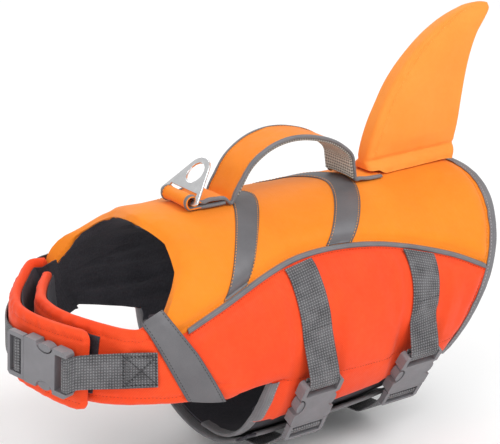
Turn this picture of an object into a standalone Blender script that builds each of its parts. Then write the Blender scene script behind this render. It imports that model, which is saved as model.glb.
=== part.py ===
"""Dog life jacket, filled out as it is when worn, in metres with +Z up.

The spine runs along X with the head towards -X, the near side is -Y and the far side +Y.
The origin is on the inner face of the back, over the spine, where the wearer carries it.
Every piece of cloth is laid on one form, the inner face of the lining. A point of it is
given by x and by the girth angle, which is 0 on the spine, negative down the near side and
180 under the belly. Sizes below are millimetres and degrees.
"""
import math
from collections import namedtuple

import bmesh
import bpy
from mathutils import Matrix, Vector

MM = 0.001
NEAR = -1
FAR = 1

# ---------------------------------------------------------------- driving sizes
SEAM_GAP = 0.7           # air between two pieces that are sewn edge to edge
LAY_GAP = 0.45           # air under a piece that lies on a panel
LINING = 0.6             # lining cloth
PANEL_FOOT = 2.1         # the panels stand this far out from the form, over the lining
BACK_PAD = 9.4           # foam and cloth of the back
SIDE_PAD = 7.4           # foam and cloth of the sides
EDGE_PAD = 3.4           # a padded panel at its sewn edge
PAD_ROUND = 15.0         # from the sewn edge to the full pad
BOUND_EDGE = 8.5         # a bound edge stays thin this far in
WING_PAD = 8.6           # foam and cloth of the chest wings
WING_EDGE = 4.0          # a wing at its free edge
WING_ROUND = 9.0
WING_BULGE = 1.4
WING_GAP = 2.6           # the wings stop short of the body, under the diagonal tape
TAPE = 0.9               # reflective tape
WEB = 1.5                # webbing thickness
WEB_WIDTH = 25.0
BINDING = 0.9            # folded edge binding
BINDING_LEG = 5.5        # how far a binding reaches in over the edge
FLAP = 1.5               # belly flap cloth
FLAP_OUT = 4.8           # the far flap lies outside the near one
LOWER_ANGLE = 127.0      # girth angle of the side panels' lower edge
STRAP_DENT = 2.2         # how deep the belly straps press into the sides

# ---------------------------------------------------------------- the form
Section = namedtuple("Section", "x half_width top middle bottom")
BODY = (
    Section(-155, 58, 10, -60, -112),
    Section(-125, 71, 8, -64, -140),
    Section(-105, 77, 6, -67, -155),
    Section(-42, 83, 3, -74, -159),
    Section(0, 83, 0, -74, -160),
    Section(50, 81, -2, -73, -160),
    Section(100, 78, -4, -71, -157),
    Section(150, 76, -4, -68, -149),
    Section(200, 75.5, -3, -65, -141),
)

# Where the neck edge and the rear edge lie along X at each girth angle.
EdgeRow = namedtuple("EdgeRow", "angle x")
NECK_EDGE = (
    EdgeRow(0, -103), EdgeRow(16, -96), EdgeRow(30, -95), EdgeRow(42, -100),
    EdgeRow(50, -108), EdgeRow(58, -125),
)
REAR_EDGE = (
    EdgeRow(0, 191), EdgeRow(25, 190), EdgeRow(42, 186), EdgeRow(51, 182), EdgeRow(60, 177),
    EdgeRow(70, 171), EdgeRow(83, 162), EdgeRow(98, 151), EdgeRow(113, 140), EdgeRow(127, 128),
    EdgeRow(138, 112), EdgeRow(150, 97), EdgeRow(180, 90),
)

# The side panels above the legs: lower edge along X, and the front edge of the belly part.
# The far side is drawn up a little, because the chest strap pulls the wings across.
LegRow = namedtuple("LegRow", "x near far")
LEG_EDGE = (
    LegRow(-112, 106, 101), LegRow(-103, 107, 96), LegRow(-94, 108, 94.5), LegRow(-80, 108.5, 96.5),
    LegRow(-63, 104.5, 98.5), LegRow(-42, 102, 102),
)
BellyRow = namedtuple("BellyRow", "angle near far")
BELLY_FRONT = (
    BellyRow(100, -42, -42), BellyRow(113, -46, -42), BellyRow(127, -47.5, -41.5),
    BellyRow(150, -44, -41.5), BellyRow(180, -38, -41.5),
)

# The seam between the back and the sides, seen from the side.
SideRow = namedtuple("SideRow", "x z")
ARCH_SEAM = (
    SideRow(-130, -54), SideRow(-112, -44), SideRow(-72, -31), SideRow(-34, -21), SideRow(-2, -17),
    SideRow(37, -18), SideRow(76, -24), SideRow(125, -39), SideRow(160, -56), SideRow(185, -70),
)

# The diagonal tape covers the seam between body and wing. Its lines, seen from the side.
TapeLine = namedtuple("TapeLine", "top_x top_z bottom_x bottom_z")
DIAGONAL_SEAM = TapeLine(-131, -27, -95, -94)
DIAGONAL_REAR = TapeLine(-123, -25, -81, -97)
DIAGONAL_ON_WING = 10.0
DIAGONAL_END = {NEAR: -94, FAR: -81}   # height of the tape's lower end
TAPE_RISE = {NEAR: -0.08, FAR: 0.02}    # where the tape starts on the wing, as a share of its height
WING_TOP_DROP = {NEAR: 8.0, FAR: 1.5}   # how far the wing's top corner is below the top of its seam

# Chest wings: their middle surface, one row for each upright line from the body to the tip.
WingRow = namedtuple("WingRow", "top_x top_y top_z bottom_x bottom_y bottom_z")
NEAR_WING = (
    WingRow(-141, -70, -36.5, -113, -76, -92),
    WingRow(-146.5, -60, -38, -128, -68, -92),
    WingRow(-152.5, -42, -38.5, -146, -54, -93),
    WingRow(-157.5, -28, -38, -157, -38, -94),
    WingRow(-162, -12, -37.5, -162.5, -18, -95),
    WingRow(-163, 5, -37, -164, 3, -94),
    WingRow(-160, 22, -36, -161, 21, -93),
    WingRow(-149, 40, -35, -149, 39, -91),
    WingRow(-133, 59, -34, -129, 57, -88),
)
FAR_WING = (
    WingRow(-142, 69, -30, -118, 77.5, -85),
    WingRow(-154, 59, -33, -135, 71.5, -89),
    WingRow(-169, 42, -35.5, -156, 58, -91.5),
    WingRow(-178.5, 24, -37, -173, 38, -92.5),
    WingRow(-181, 8, -37.5, -179.5, 17, -93),
    WingRow(-178, -9.5, -38.5, -177.5, -3, -94.5),
    WingRow(-172, -29, -39, -173.5, -25, -96),
    WingRow(-164, -45, -40, -166.5, -43, -97),
)

# Handle, outer face of the strap in the plane of the spine.
PathRow = namedtuple("PathRow", "x z")
HANDLE_ARCH = (
    PathRow(-28, 15.5), PathRow(-22, 24), PathRow(-17, 31.5), PathRow(-11, 39), PathRow(0, 46.5),
    PathRow(14, 51.5), PathRow(33, 52.5), PathRow(54, 47.5), PathRow(67, 41.5), PathRow(77, 34),
    PathRow(81.5, 28), PathRow(83, 19), PathRow(84.5, 11),
)
HANDLE_WIDTH = 32.0
HANDLE_CLOTH = 1.4
GRIP_PAD = 1.6           # mesh grip under the handle
ROLL_X = -61.0           # the roll that carries the leash ring
ROLL_RADIUS = 4.1        # to the middle of the cloth
STRAP_TAIL_X = 108.0     # the handle's sewn tail under the fin

# Back fin, one row for each level: front and rear edge and half thickness.
FinRow = namedtuple("FinRow", "z front rear half")
FIN = (
    FinRow(7, 101, 182.5, 11.5),
    FinRow(13, 101, 185, 9.0),
    FinRow(17, 101, 186.5, 7.6),
    FinRow(34, 106, 190, 8.0),
    FinRow(52, 114, 193, 8.0),
    FinRow(72, 126, 197, 7.8),
    FinRow(88, 140, 202, 7.4),
    FinRow(100, 154, 208, 6.8),
    FinRow(110, 170, 216, 6.0),
    FinRow(116, 183, 220, 4.8),
    FinRow(120, 196, 219, 3.2),
)

# Tapes that cross the back as arrow heads: x of the middle on the spine and at the seam.
CrossTape = namedtuple("CrossTape", "name spine_x side_x width")
CROSS_TAPES = (CrossTape("front", -8, -66, 22), CrossTape("rear", 78, 32, 22))

# Straps round the belly: x at the seam and at the buckle, girth angle of the buckle's middle.
Strap = namedtuple("Strap", "name top_x x buckle_angle lean")
STRAPS = (Strap("front", -8.0, -8.0, 119.5, 117.5), Strap("rear", 96.0, 85.5, 124.0, 122.0))
SLANT_FROM = 68.0        # girth angle where a slanting strap leaves the seam

# Side-release buckle for 25 mm webbing. It lies along its own X with its outer face at +Z.
BUCKLE_WIDTH = 34.0
BUCKLE_THICK = 8.0
SOCKET_END = -28.0       # the socket's webbing end
SOCKET_MOUTH = 12.0
PLUG_END = 27.5
BAR_START = -27.5        # the socket's webbing bar
BAR_END = -24.0
BAR_HALF = 1.6
SLOT_END = -17.5
SLOT_HALF = 13.3         # half width of every webbing slot
LADDER_BAR = (18.3, 20.9)


# ---------------------------------------------------------------- small maths
def clamp(value, low=0.0, high=1.0):
    return max(low, min(high, value))


def smooth(value):
    value = clamp(value)
    return value * value * (3 - 2 * value)


def mix(a, b, t):
    return a + (b - a) * t


def curve_value(rows, key, column, at):
    """Smooth value of a table's column, with the slope taken from the rows on either side."""
    keys = [getattr(row, key) for row in rows]
    values = [getattr(row, column) for row in rows]
    last = len(keys) - 1
    at = clamp(at, keys[0], keys[-1])
    i = 0
    while i < last - 1 and at > keys[i + 1]:
        i += 1

    def slope(k):
        low = max(0, k - 1)
        high = min(last, k + 1)
        return (values[high] - values[low]) / (keys[high] - keys[low])

    span = keys[i + 1] - keys[i]
    t = (at - keys[i]) / span
    t2 = t * t
    t3 = t2 * t
    return ((2 * t3 - 3 * t2 + 1) * values[i] + (t3 - 2 * t2 + t) * span * slope(i)
            + (3 * t2 - 2 * t3) * values[i + 1] + (t3 - t2) * span * slope(i + 1))


def spline_point(points, t):
    """Point at t from 0 to 1 on a smooth curve through the points."""
    count = len(points) - 1
    at = clamp(t) * count
    i = min(int(at), count - 1)
    f = at - i
    p0 = points[max(0, i - 1)]
    p1 = points[i]
    p2 = points[i + 1]
    p3 = points[min(count, i + 2)]
    m1 = (p2 - p0) * 0.5
    m2 = (p3 - p1) * 0.5
    f2 = f * f
    f3 = f2 * f
    return p1 * (2 * f3 - 3 * f2 + 1) + m1 * (f3 - 2 * f2 + f) + p2 * (3 * f2 - 2 * f3) + m2 * (f3 - f2)


# ---------------------------------------------------------------- the form's points
FORM_START = BODY[0].x
FORM_END = BODY[-1].x
FORM_COLUMNS = ("half_width", "top", "middle", "bottom")
FORM_TABLE = [[curve_value(BODY, "x", column, x) for column in FORM_COLUMNS]
              for x in range(FORM_START, FORM_END + 1)]


def form_section(x):
    at = clamp(x, FORM_START, FORM_END) - FORM_START
    i = min(int(at), len(FORM_TABLE) - 2)
    return [mix(a, b, at - i) for a, b in zip(FORM_TABLE[i], FORM_TABLE[i + 1])]


def form_on(x, angle):
    """Point on the form itself."""
    half_width, top, middle, bottom = form_section(x)
    a = math.radians(angle)
    height = top - middle if math.cos(a) >= 0 else middle - bottom
    radius = 1.0 / math.hypot(math.sin(a) / half_width, math.cos(a) / height)
    return Vector((x, radius * math.sin(a), middle + radius * math.cos(a)))


def form_normal(x, angle):
    along = form_on(x + 1.0, angle) - form_on(x - 1.0, angle)
    round_ = form_on(x, angle + 0.7) - form_on(x, angle - 0.7)
    return along.cross(round_).normalized()


def form_point(x, angle, out=0.0):
    return form_on(x, angle) + form_normal(x, angle) * out


def angle_at_height(x, z, out=8.0):
    """Girth angle, taken positive, at which the surface is at height z."""
    low = 5.0
    high = 175.0
    for _ in range(18):
        mid = (low + high) / 2
        if form_point(x, mid, out).z > z:
            low = mid
        else:
            high = mid
    return low


class Lookup:
    """A function of one number kept as a table with straight lines between its rows."""

    def __init__(self, function, start, end, step):
        self.start = start
        self.step = step
        self.values = [function(start + step * k) for k in range(int(round((end - start) / step)) + 1)]

    def __call__(self, at):
        f = clamp((at - self.start) / self.step, 0, len(self.values) - 1.0001)
        i = int(f)
        return mix(self.values[i], self.values[i + 1], f - i)


def line_x(line, z):
    return line.top_x + (z - line.top_z) * (line.bottom_x - line.top_x) / (line.bottom_z - line.top_z)


def find_front(angle):
    """Front edge of the back and side panels: the neck edge, then the seam to the wing."""
    if angle <= NECK_EDGE[-1].angle:
        return curve_value(NECK_EDGE, "angle", "x", angle)
    x = -120.0
    for _ in range(6):
        x = line_x(DIAGONAL_SEAM, form_point(x, angle, 5.0).z)
    return x


arch_angle = Lookup(lambda x: angle_at_height(x, curve_value(ARCH_SEAM, "x", "z", x), 6.0), -132, 196, 4)
front_lookup = Lookup(find_front, 0, 112, 1)
rear_lookup = Lookup(lambda angle: curve_value(REAR_EDGE, "angle", "x", angle) - 1.5, 0, 180, 2)
leg_lookup = {side: Lookup(lambda x, tag=tag: curve_value(LEG_EDGE, "x", tag, x), -124, -30, 2)
              for side, tag in ((NEAR, "near"), (FAR, "far"))}
belly_lookup = {side: Lookup(lambda angle, tag=tag: curve_value(BELLY_FRONT, "angle", tag, angle), 100, 180, 2)
                for side, tag in ((NEAR, "near"), (FAR, "far"))}


def leg_angle(x, side):
    return leg_lookup[side](min(x, -42))


def belly_front(angle, side):
    return belly_lookup[side](min(abs(angle), 180))


def front_x(angle):
    return front_lookup(abs(angle))


def rear_x(angle):
    """Rear edge of the cloth at a girth angle, on either side and past the belly."""
    angle = abs(angle)
    return rear_lookup(min(angle, 360 - angle))


ARC_STEP = math.radians(1.0) * 86.0   # girth length of one degree, near enough for paddings


PAD_SLACK = 1.0


def pad_profile(distance, full):
    t = clamp(distance / PAD_ROUND)
    return EDGE_PAD + (full - EDGE_PAD) * math.sqrt(1 - (1 - t) ** 2.2)


def back_pad(x, angle):
    sides = (arch_angle(x) - abs(angle)) * ARC_STEP - SEAM_FLAT - PAD_SLACK
    front = x - front_x(angle)
    rear = rear_x(angle) - x - BOUND_EDGE - PAD_SLACK
    return pad_profile(max(0.0, min(sides, front, rear)), BACK_PAD)


# Soft troughs of the side panels: x at the top and the bottom, their heights, width and depth.
Trough = namedtuple("Trough", "top_x top_z bottom_x bottom_z width depth")
TROUGHS = (
    Trough(60, -30, 70, -104, 8, 1.6),
    Trough(-78, -52, -64, -84, 9, 1.2),
)


def strap_x(strap, angle):
    return mix(strap.top_x, strap.x, smooth((abs(angle) - SLANT_FROM) / (strap.buckle_angle - 8 - SLANT_FROM)))


STRAP_FLAT = 18.0        # the dent under a belly strap is flat this far out from its middle
STRAP_SHOULDER = 8.0


def trough_depth(x, angle):
    z = form_point(x, angle, 8.0).z
    depth = 0.0
    for t in TROUGHS:
        f = (z - t.top_z) / (t.bottom_z - t.top_z)
        if -0.1 < f < 1.1:
            middle = mix(t.top_x, t.bottom_x, f)
            depth += t.depth * math.sin(math.pi * clamp((f + 0.1) / 1.2)) * math.exp(-((x - middle) / t.width) ** 2)
    for strap in STRAPS:
        beside = abs(x - strap_x(strap, angle)) - STRAP_FLAT
        depth += STRAP_DENT * (1 - smooth(beside / STRAP_SHOULDER))
    return depth


def side_pad(x, angle):
    side = NEAR if angle < 0 else FAR
    angle = abs(angle)
    arch = (angle - arch_angle(x)) * ARC_STEP - SEAM_FLAT - PAD_SLACK
    front = x - front_x(angle)
    rear = rear_x(angle) - x - BOUND_EDGE - PAD_SLACK
    below = (LOWER_ANGLE - angle) * ARC_STEP
    corner_x = belly_front(angle, side)
    above = (leg_angle(x, side) - angle) * ARC_STEP
    behind = x - corner_x - BOUND_EDGE - PAD_SLACK
    leg = above if x < corner_x else math.hypot(max(0.0, behind), max(0.0, above))
    full = SIDE_PAD - trough_depth(x, angle)
    return pad_profile(max(0.0, min(arch, front, rear, below, leg)), full)


def body_top(x, angle):
    """How far the outer face of the body panels stands out from the form."""
    pad = back_pad if abs(angle) < arch_angle(x) else side_pad
    return PANEL_FOOT + pad(x, angle)


def on_body(x, angle, lift=LAY_GAP):
    return form_point(x, angle, body_top(x, angle) + lift)


# ---------------------------------------------------------------- Blender helpers
def clear_scene():
    for item in list(bpy.data.objects):
        bpy.data.objects.remove(item, do_unlink=True)
    for group in list(bpy.data.collections):
        bpy.data.collections.remove(group)


def new_collection(name):
    group = bpy.data.collections.new(name)
    bpy.context.scene.collection.children.link(group)
    return group


def principled(name, color, roughness, metallic=0.0):
    material = bpy.data.materials.new(name)
    material.use_nodes = True
    shader = material.node_tree.nodes["Principled BSDF"]
    shader.inputs["Base Color"].default_value = (*color, 1)
    shader.inputs["Roughness"].default_value = roughness
    shader.inputs["Metallic"].default_value = metallic
    material.diffuse_color = (*color, 1)
    return material


def add_object(name, mesh, material, group, smooth_angle=40):
    piece = bpy.data.objects.new(name, mesh)
    mesh.materials.append(material)
    mesh.shade_smooth()
    mesh.set_sharp_from_angle(angle=math.radians(smooth_angle))
    group.objects.link(piece)
    return piece


def grid_mesh(name, columns, rows, point, keep=None, weight=None):
    """Open sheet of columns by rows quads, its points given by point(s, t) in millimetres."""
    mesh = bpy.data.meshes.new(name)
    build = bmesh.new()
    pads = build.verts.layers.deform.verify()
    grid = [[build.verts.new(Vector(point(i / columns, j / rows)) * MM) for j in range(rows + 1)]
            for i in range(columns + 1)]
    if weight is not None:
        for i in range(columns + 1):
            for j in range(rows + 1):
                grid[i][j][pads][0] = clamp(weight(i / columns, j / rows))
    for i in range(columns):
        for j in range(rows):
            if keep is None or keep(i, j):
                build.faces.new((grid[i][j], grid[i + 1][j], grid[i + 1][j + 1], grid[i][j + 1]))
    loose = [v for v in build.verts if not v.link_faces]
    bmesh.ops.delete(build, geom=loose, context="VERTS")
    build.to_mesh(mesh)
    build.free()
    return mesh


def cloth(name, columns, rows, point, material, group, thickness, offset=1.0, keep=None, weight=None):
    """Sheet with a wall. The wall grows along the sheet's normals when offset is 1."""
    mesh = grid_mesh(name, columns, rows, point, keep, weight)
    piece = add_object(name, mesh, material, group, 60)
    wall = piece.modifiers.new("wall", "SOLIDIFY")
    wall.thickness = thickness * MM
    wall.offset = offset
    wall.use_even_offset = False
    if weight is not None:
        piece.vertex_groups.new(name="pad")
        wall.vertex_group = "pad"
        wall.thickness_vertex_group = 0.0
    return piece


# ---------------------------------------------------------------- body panels
def stations(length, head, middle, tail):
    """Places from 0 to length: at the head's and the tail's distances, and even between."""
    last = [length - d for d in reversed(tail)]
    between = [mix(head[-1], last[0], (k + 1) / (middle + 1)) for k in range(middle)]
    return list(head) + between + last


# Columns of the panels along X: distances from the front edge, places between, the front edge
# of the belly part, fixed places (the last ones follow the rear strap), distances from the rear.
Layout = namedtuple("Layout", "head middle first fixed slanting tail")
PANEL_LAYOUT = Layout((0, 3.5, 8, 15), 2, BOUND_EDGE, (-26, -8, 10, 18, 34, 52), (67, 78, 96, 114, 121),
                      (22, 14, BOUND_EDGE, 0))
LINING_LAYOUT = Layout((0, 9), 2, BOUND_EDGE, (0, 32), (62, 92, 121), (BOUND_EDGE, 0))
SEAM_FLAT = 3.5          # the panels stay thin this far beside the arch seam
SEAM_STEPS = (0, SEAM_FLAT, 8, 15)
SEAM_MIDDLE = 6
BACK_ROWS = 2 * len(SEAM_STEPS) + SEAM_MIDDLE - 1
SIDE_MIDDLE = 3
LEG_STEPS = (0, 5, 12)
LOWER_STEPS = (0.28, 0.56, 0.8, 1.0)
LEG_ROW = len(SEAM_STEPS) + SIDE_MIDDLE + len(LEG_STEPS) - 1
SIDE_ROWS = LEG_ROW + len(LOWER_STEPS)


def layout_columns(layout):
    return len(layout.head) + layout.middle + 1 + len(layout.fixed) + len(layout.slanting) + len(layout.tail)


def column_x(i, angle, side, start, layout):
    """x of a column at a girth angle, for a front edge that starts at this x."""
    step = belly_front(angle, side)
    corner = len(layout.head) + layout.middle
    if i <= corner:
        return start + stations(step - start, layout.head, layout.middle, (0,))[i]
    rear = rear_x(angle)
    slant = strap_x(STRAPS[1], angle) - STRAPS[1].top_x
    places = [step + layout.first] + list(layout.fixed) + [x + slant for x in layout.slanting]
    k = i - corner - 1
    if k < len(places):
        return min(places[k], rear - layout.tail[0] - 3.0 * (len(places) - k))
    return rear - layout.tail[k - len(places)]


def back_place(i, j, layout):
    """x and girth angle of a grid point of the back."""
    x = 0.0
    angle = 0.0
    for _ in range(6):
        reach = arch_angle(x) * ARC_STEP - SEAM_GAP / 2
        angle = (stations(2 * reach, SEAM_STEPS, SEAM_MIDDLE, SEAM_STEPS)[j] - reach) / ARC_STEP
        x = column_x(i, angle, NEAR, front_x(angle), layout)
    return x, angle


def side_angles(x, side):
    """Girth angles of the side panel's rows where it has this x."""
    arch = arch_angle(x) + SEAM_GAP / 2 / ARC_STEP
    edge = leg_angle(x, side)
    angles = [arch + d / ARC_STEP for d in stations((edge - arch) * ARC_STEP, SEAM_STEPS, SIDE_MIDDLE, LEG_STEPS)]
    return angles + [mix(edge, LOWER_ANGLE, f) for f in LOWER_STEPS]


def side_place(i, j, side, layout):
    """x and girth angle of a grid point of a side panel, stepped at the leg opening."""
    x = -60.0
    angle = 0.0
    for _ in range(6):
        angle = side_angles(x, side)[j]
        x = column_x(i, angle, side, front_x(min(angle, leg_angle(x, side))), layout)
    return x, angle


def body_sheet(name, side, layout, out, thickness, pad, material, group):
    """One sheet of the body; side is 0 for the back."""
    columns = layout_columns(layout)
    rows = SIDE_ROWS if side else BACK_ROWS
    corner = len(layout.head) + layout.middle

    def place(s, t):
        i = round(s * columns)
        j = round(t * rows)
        if not side:
            return back_place(i, j, layout)
        x, angle = side_place(i, rows - j if side == NEAR else j, side, layout)
        return x, side * angle

    def point(s, t):
        x, angle = place(s, t)
        return form_point(x, angle, out)

    def weight(s, t):
        return pad(*place(s, t)) / thickness

    def keep(i, j):
        row = rows - 1 - j if side == NEAR else j
        return not (side and i < corner and row >= LEG_ROW)

    return cloth(name, columns, rows, point, material, group, thickness, 1.0, keep, weight if pad else None)


def make_body(group, paint):
    body_sheet("back_panel", 0, PANEL_LAYOUT, PANEL_FOOT, BACK_PAD, back_pad, paint["yellow"], group)
    body_sheet("lining_back", 0, LINING_LAYOUT, 0.0, LINING, None, paint["black"], group)
    for side, tag in ((NEAR, "near"), (FAR, "far")):
        body_sheet("side_panel_" + tag, side, PANEL_LAYOUT, PANEL_FOOT, SIDE_PAD, side_pad, paint["red"], group)
        body_sheet("lining_side_" + tag, side, LINING_LAYOUT, 0.0, LINING, None, paint["black"], group)


# ---------------------------------------------------------------- strips on the body
def make_arch_tapes(group, paint):
    half = 1.9
    end = 160.0
    for _ in range(6):
        end = rear_x(arch_angle(end)) - BINDING_LEG - 2.0
    for side, tag in ((NEAR, "near"), (FAR, "far")):
        def point(s, t, side=side):
            x = mix(-107.0, end, s)
            angle = side * arch_angle(x) + mix(-half, half, t) / ARC_STEP
            return form_point(x, angle, PANEL_FOOT + EDGE_PAD + 0.6)
        cloth("arch_tape_" + tag, 24, 2, point, paint["grey"], group, 1.2)


def make_cross_tapes(group, paint):
    steps = (3.4,) + SEAM_STEPS[2:]
    rows = 2 * len(steps) + 14 - 1
    for tape in CROSS_TAPES:
        def point(s, t, tape=tape):
            x = tape.spine_x
            for _ in range(6):
                reach = arch_angle(x) * ARC_STEP
                angle = (stations(2 * reach, steps, 14, steps)[round(t * rows)] - reach) / ARC_STEP
                side = angle * ARC_STEP / reach
                x = mix(tape.spine_x, tape.side_x, math.hypot(side, 0.12) ** 1.4) + (s - 0.5) * tape.width
            return on_body(x, angle)
        cloth("tape_" + tape.name, 2, rows, point, paint["tape"], group, TAPE)


# ---------------------------------------------------------------- folded bindings
def folded_binding(name, columns, edge, material, group, flip=False, leg=BINDING_LEG):
    """Strip folded over an edge. edge(s) gives the edge point, the way in, out and the wall."""
    def point(s, t):
        at, inward, outward, low, high = edge(s)
        low -= 0.5 + BINDING / 2
        high += 0.6 + BINDING / 2
        turn = 1.1 + BINDING / 2
        path = ((leg, high), (0, high), (-turn, mix(high, low, 0.16)), (-turn, mix(high, low, 0.84)),
                (0, low), (leg, low))
        k = round(t * 5)
        across, height = path[5 - k if flip else k]
        return at + inward * across + outward * height
    return cloth(name, columns, 5, point, material, group, BINDING, 0.0)


def rear_angles():
    """Girth angles where the rows of the panels meet the rear edge, near side first."""
    last = layout_columns(PANEL_LAYOUT)
    sides = [side_place(last, j, NEAR, PANEL_LAYOUT)[1] for j in range(SIDE_ROWS + 1)]
    back = [back_place(last, j, PANEL_LAYOUT)[1] for j in range(BACK_ROWS + 1)]
    seam = (sides[0] + back[-1]) / 2
    return [-a for a in reversed(sides[1:])] + [-seam] + back[1:-1] + [seam] + sides[1:]


FLAP_TIP = 217.0         # girth angle where the far flap ends, on the near side
NEAR_FLAP_TIP = 208.0
FLAP_START = -46.0
FLAP_END = 102.0
FLAP_ANGLES = (LOWER_ANGLE + 0.7, 133, 140, 147, 155, 163, 171, 179, 187, 195, 202, NEAR_FLAP_TIP, FLAP_TIP)


def flap_out(angle, side):
    """How far a belly flap lies out from the form at a girth angle measured from its own side."""
    return 0.0 if side == NEAR else mix(PANEL_FOOT, FLAP_OUT, smooth((angle - LOWER_ANGLE) / 13))


def flap_x(angle, side, s):
    start = belly_front(angle, side)
    end = rear_x(angle) - 2.0
    end = mix(end, FLAP_END, smooth((abs(angle) - LOWER_ANGLE) / 20))
    return mix(start, end, s)


def make_bindings(group, paint):
    angles = rear_angles()

    def rear_edge(s):
        angle = angles[round(s * (len(angles) - 1))]
        x = rear_x(angle)
        outward = form_normal(x, angle)
        step = form_on(rear_x(angle + 1), angle + 1) - form_on(rear_x(angle - 1), angle - 1)
        inward = outward.cross(step.normalized()).normalized()
        if inward.x > 0:
            inward = -inward
        return form_on(x, angle), inward, outward, 0.0, PANEL_FOOT + EDGE_PAD + 0.1
    folded_binding("binding_rear", len(angles) - 1, rear_edge, paint["grey"], group, True)

    for side, tag in ((NEAR, "near"), (FAR, "far")):
        column = len(PANEL_LAYOUT.head) + PANEL_LAYOUT.middle
        rows = [side_place(column, j, side, PANEL_LAYOUT)[1] for j in range(LEG_ROW, SIDE_ROWS + 1)]
        on_flap = [a for a in FLAP_ANGLES[1:] if a < (184 if side == NEAR else 209)]
        places = [(rows[0] + 0.8, True)] + [(a, True) for a in rows[1:-1]] + [(LOWER_ANGLE + 0.5, True)]
        places += [(LOWER_ANGLE + 2.4, False)] + [(a, False) for a in on_flap]

        def leg_edge(s, side=side, places=places):
            angle, on_panel = places[round(s * (len(places) - 1))]
            low = 0.0
            high = PANEL_FOOT + EDGE_PAD + 0.1
            if not on_panel:
                low = flap_out(angle, side)
                high = low + FLAP
            x = belly_front(angle, side)
            return form_on(x, side * angle), Vector((1, 0, 0)), form_normal(x, side * angle), low, high
        folded_binding("binding_leg_" + tag, len(places) - 1, leg_edge, paint["grey"], group, side == FAR)

    def flap_edge(s):
        x = mix(flap_x(FLAP_TIP, FAR, 0) + 7.5, flap_x(FLAP_TIP, FAR, 1) - 1.0, s)
        tip = form_point(x, FLAP_TIP, FLAP_OUT)
        inward = (form_point(x, NEAR_FLAP_TIP, FLAP_OUT) - tip).normalized()
        outward = form_normal(x, FLAP_TIP)
        outward = (outward - inward * outward.dot(inward)).normalized()
        return tip, inward, outward, 0.0, FLAP
    folded_binding("binding_flap", 8, flap_edge, paint["grey"], group, False, 5.0)


# ---------------------------------------------------------------- belly flaps
def make_flaps(group, paint):
    near_rows = [a for a in FLAP_ANGLES if a <= NEAR_FLAP_TIP]

    def near_point(s, t):
        angle = near_rows[len(near_rows) - 1 - round(t * (len(near_rows) - 1))]
        return form_point(flap_x(angle, NEAR, s), -angle, 0.0)
    cloth("flap_near", 6, len(near_rows) - 1, near_point, paint["black"], group, FLAP)

    def far_point(s, t):
        angle = FLAP_ANGLES[round(t * (len(FLAP_ANGLES) - 1))]
        return form_point(flap_x(angle, FAR, s), angle, flap_out(angle, FAR))
    cloth("flap_far", 6, len(FLAP_ANGLES) - 1, far_point, paint["black"], group, FLAP)


# ---------------------------------------------------------------- chest wings
class Wing:
    """One chest wing: its middle surface and how thick it is from place to place."""

    def __init__(self, tag, side, rows, corner):
        self.tag = tag
        self.side = side
        self.corner = corner
        self.tops = [self.seam_point(DIAGONAL_SEAM.top_z - WING_TOP_DROP[side])]
        self.bottoms = [self.seam_point(DIAGONAL_END[side] + 0.5)]
        for row in rows:
            self.tops.append(Vector((row.top_x, row.top_y, row.top_z)))
            self.bottoms.append(Vector((row.bottom_x, row.bottom_y, row.bottom_z)))
        pairs = zip(self.tops, self.tops[1:], self.bottoms, self.bottoms[1:])
        self.marks = [0.0]
        for a, b, c, d in pairs:
            self.marks.append(self.marks[-1] + ((b - a).length + (d - c).length) / 2)
        self.length = self.marks[-1]
        self.height = 57.0

    def seam_point(self, z):
        x = line_x(DIAGONAL_SEAM, z) - WING_GAP
        return form_point(x, self.side * angle_at_height(x, z, 3.4), 3.4)

    def edges(self, s):
        """Top and bottom edge at a fraction of the wing's length."""
        at = clamp(s) * self.length
        i = 0
        while i < len(self.marks) - 2 and at > self.marks[i + 1]:
            i += 1
        f = (i + (at - self.marks[i]) / (self.marks[i + 1] - self.marks[i])) / (len(self.marks) - 1)
        return spline_point(self.tops, f), spline_point(self.bottoms, f)

    def middle(self, s, t):
        """Point and outward normal of the middle surface, t running from the top edge down."""
        up = max(0.0, 1 - t / self.corner, 1 - (1 - t) / self.corner)
        s *= 1 - 0.05 * (1 - math.sqrt(max(0.0, 1 - up * up)))
        top, bottom = self.edges(s)
        at = top.lerp(bottom, t)
        high = self.edges(min(1.0, s + 0.02))
        low = self.edges(max(0.0, s - 0.02))
        normal = (high[0].lerp(high[1], t) - low[0].lerp(low[1], t)).cross(bottom - top).normalized() * -self.side
        return at + normal * WING_BULGE * math.sin(math.pi * t), normal

    def thickness(self, s, t):
        edge = min(t * self.height, (1 - t) * self.height, (1 - s) * self.length, s * self.length)
        f = clamp(edge / WING_ROUND)
        return WING_EDGE + (WING_PAD - WING_EDGE) * math.sqrt(1 - (1 - f) ** 2)

    def outside(self, s, t, lift=0.0):
        at, normal = self.middle(s, t)
        return at + normal * (self.thickness(s, t) / 2 + lift)

    def inside(self, s, t, lift=0.0):
        at, normal = self.middle(s, t)
        return at - normal * (self.thickness(s, t) / 2 + lift)

    def upward(self, s):
        top, bottom = self.edges(s)
        return (top - bottom).normalized()

    def order(self, t):
        return 1 - t if self.side == FAR else t


WING_TIMES = (0, 0.07, 0.17, 0.36, 0.64, 0.83, 0.93, 1)


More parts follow.
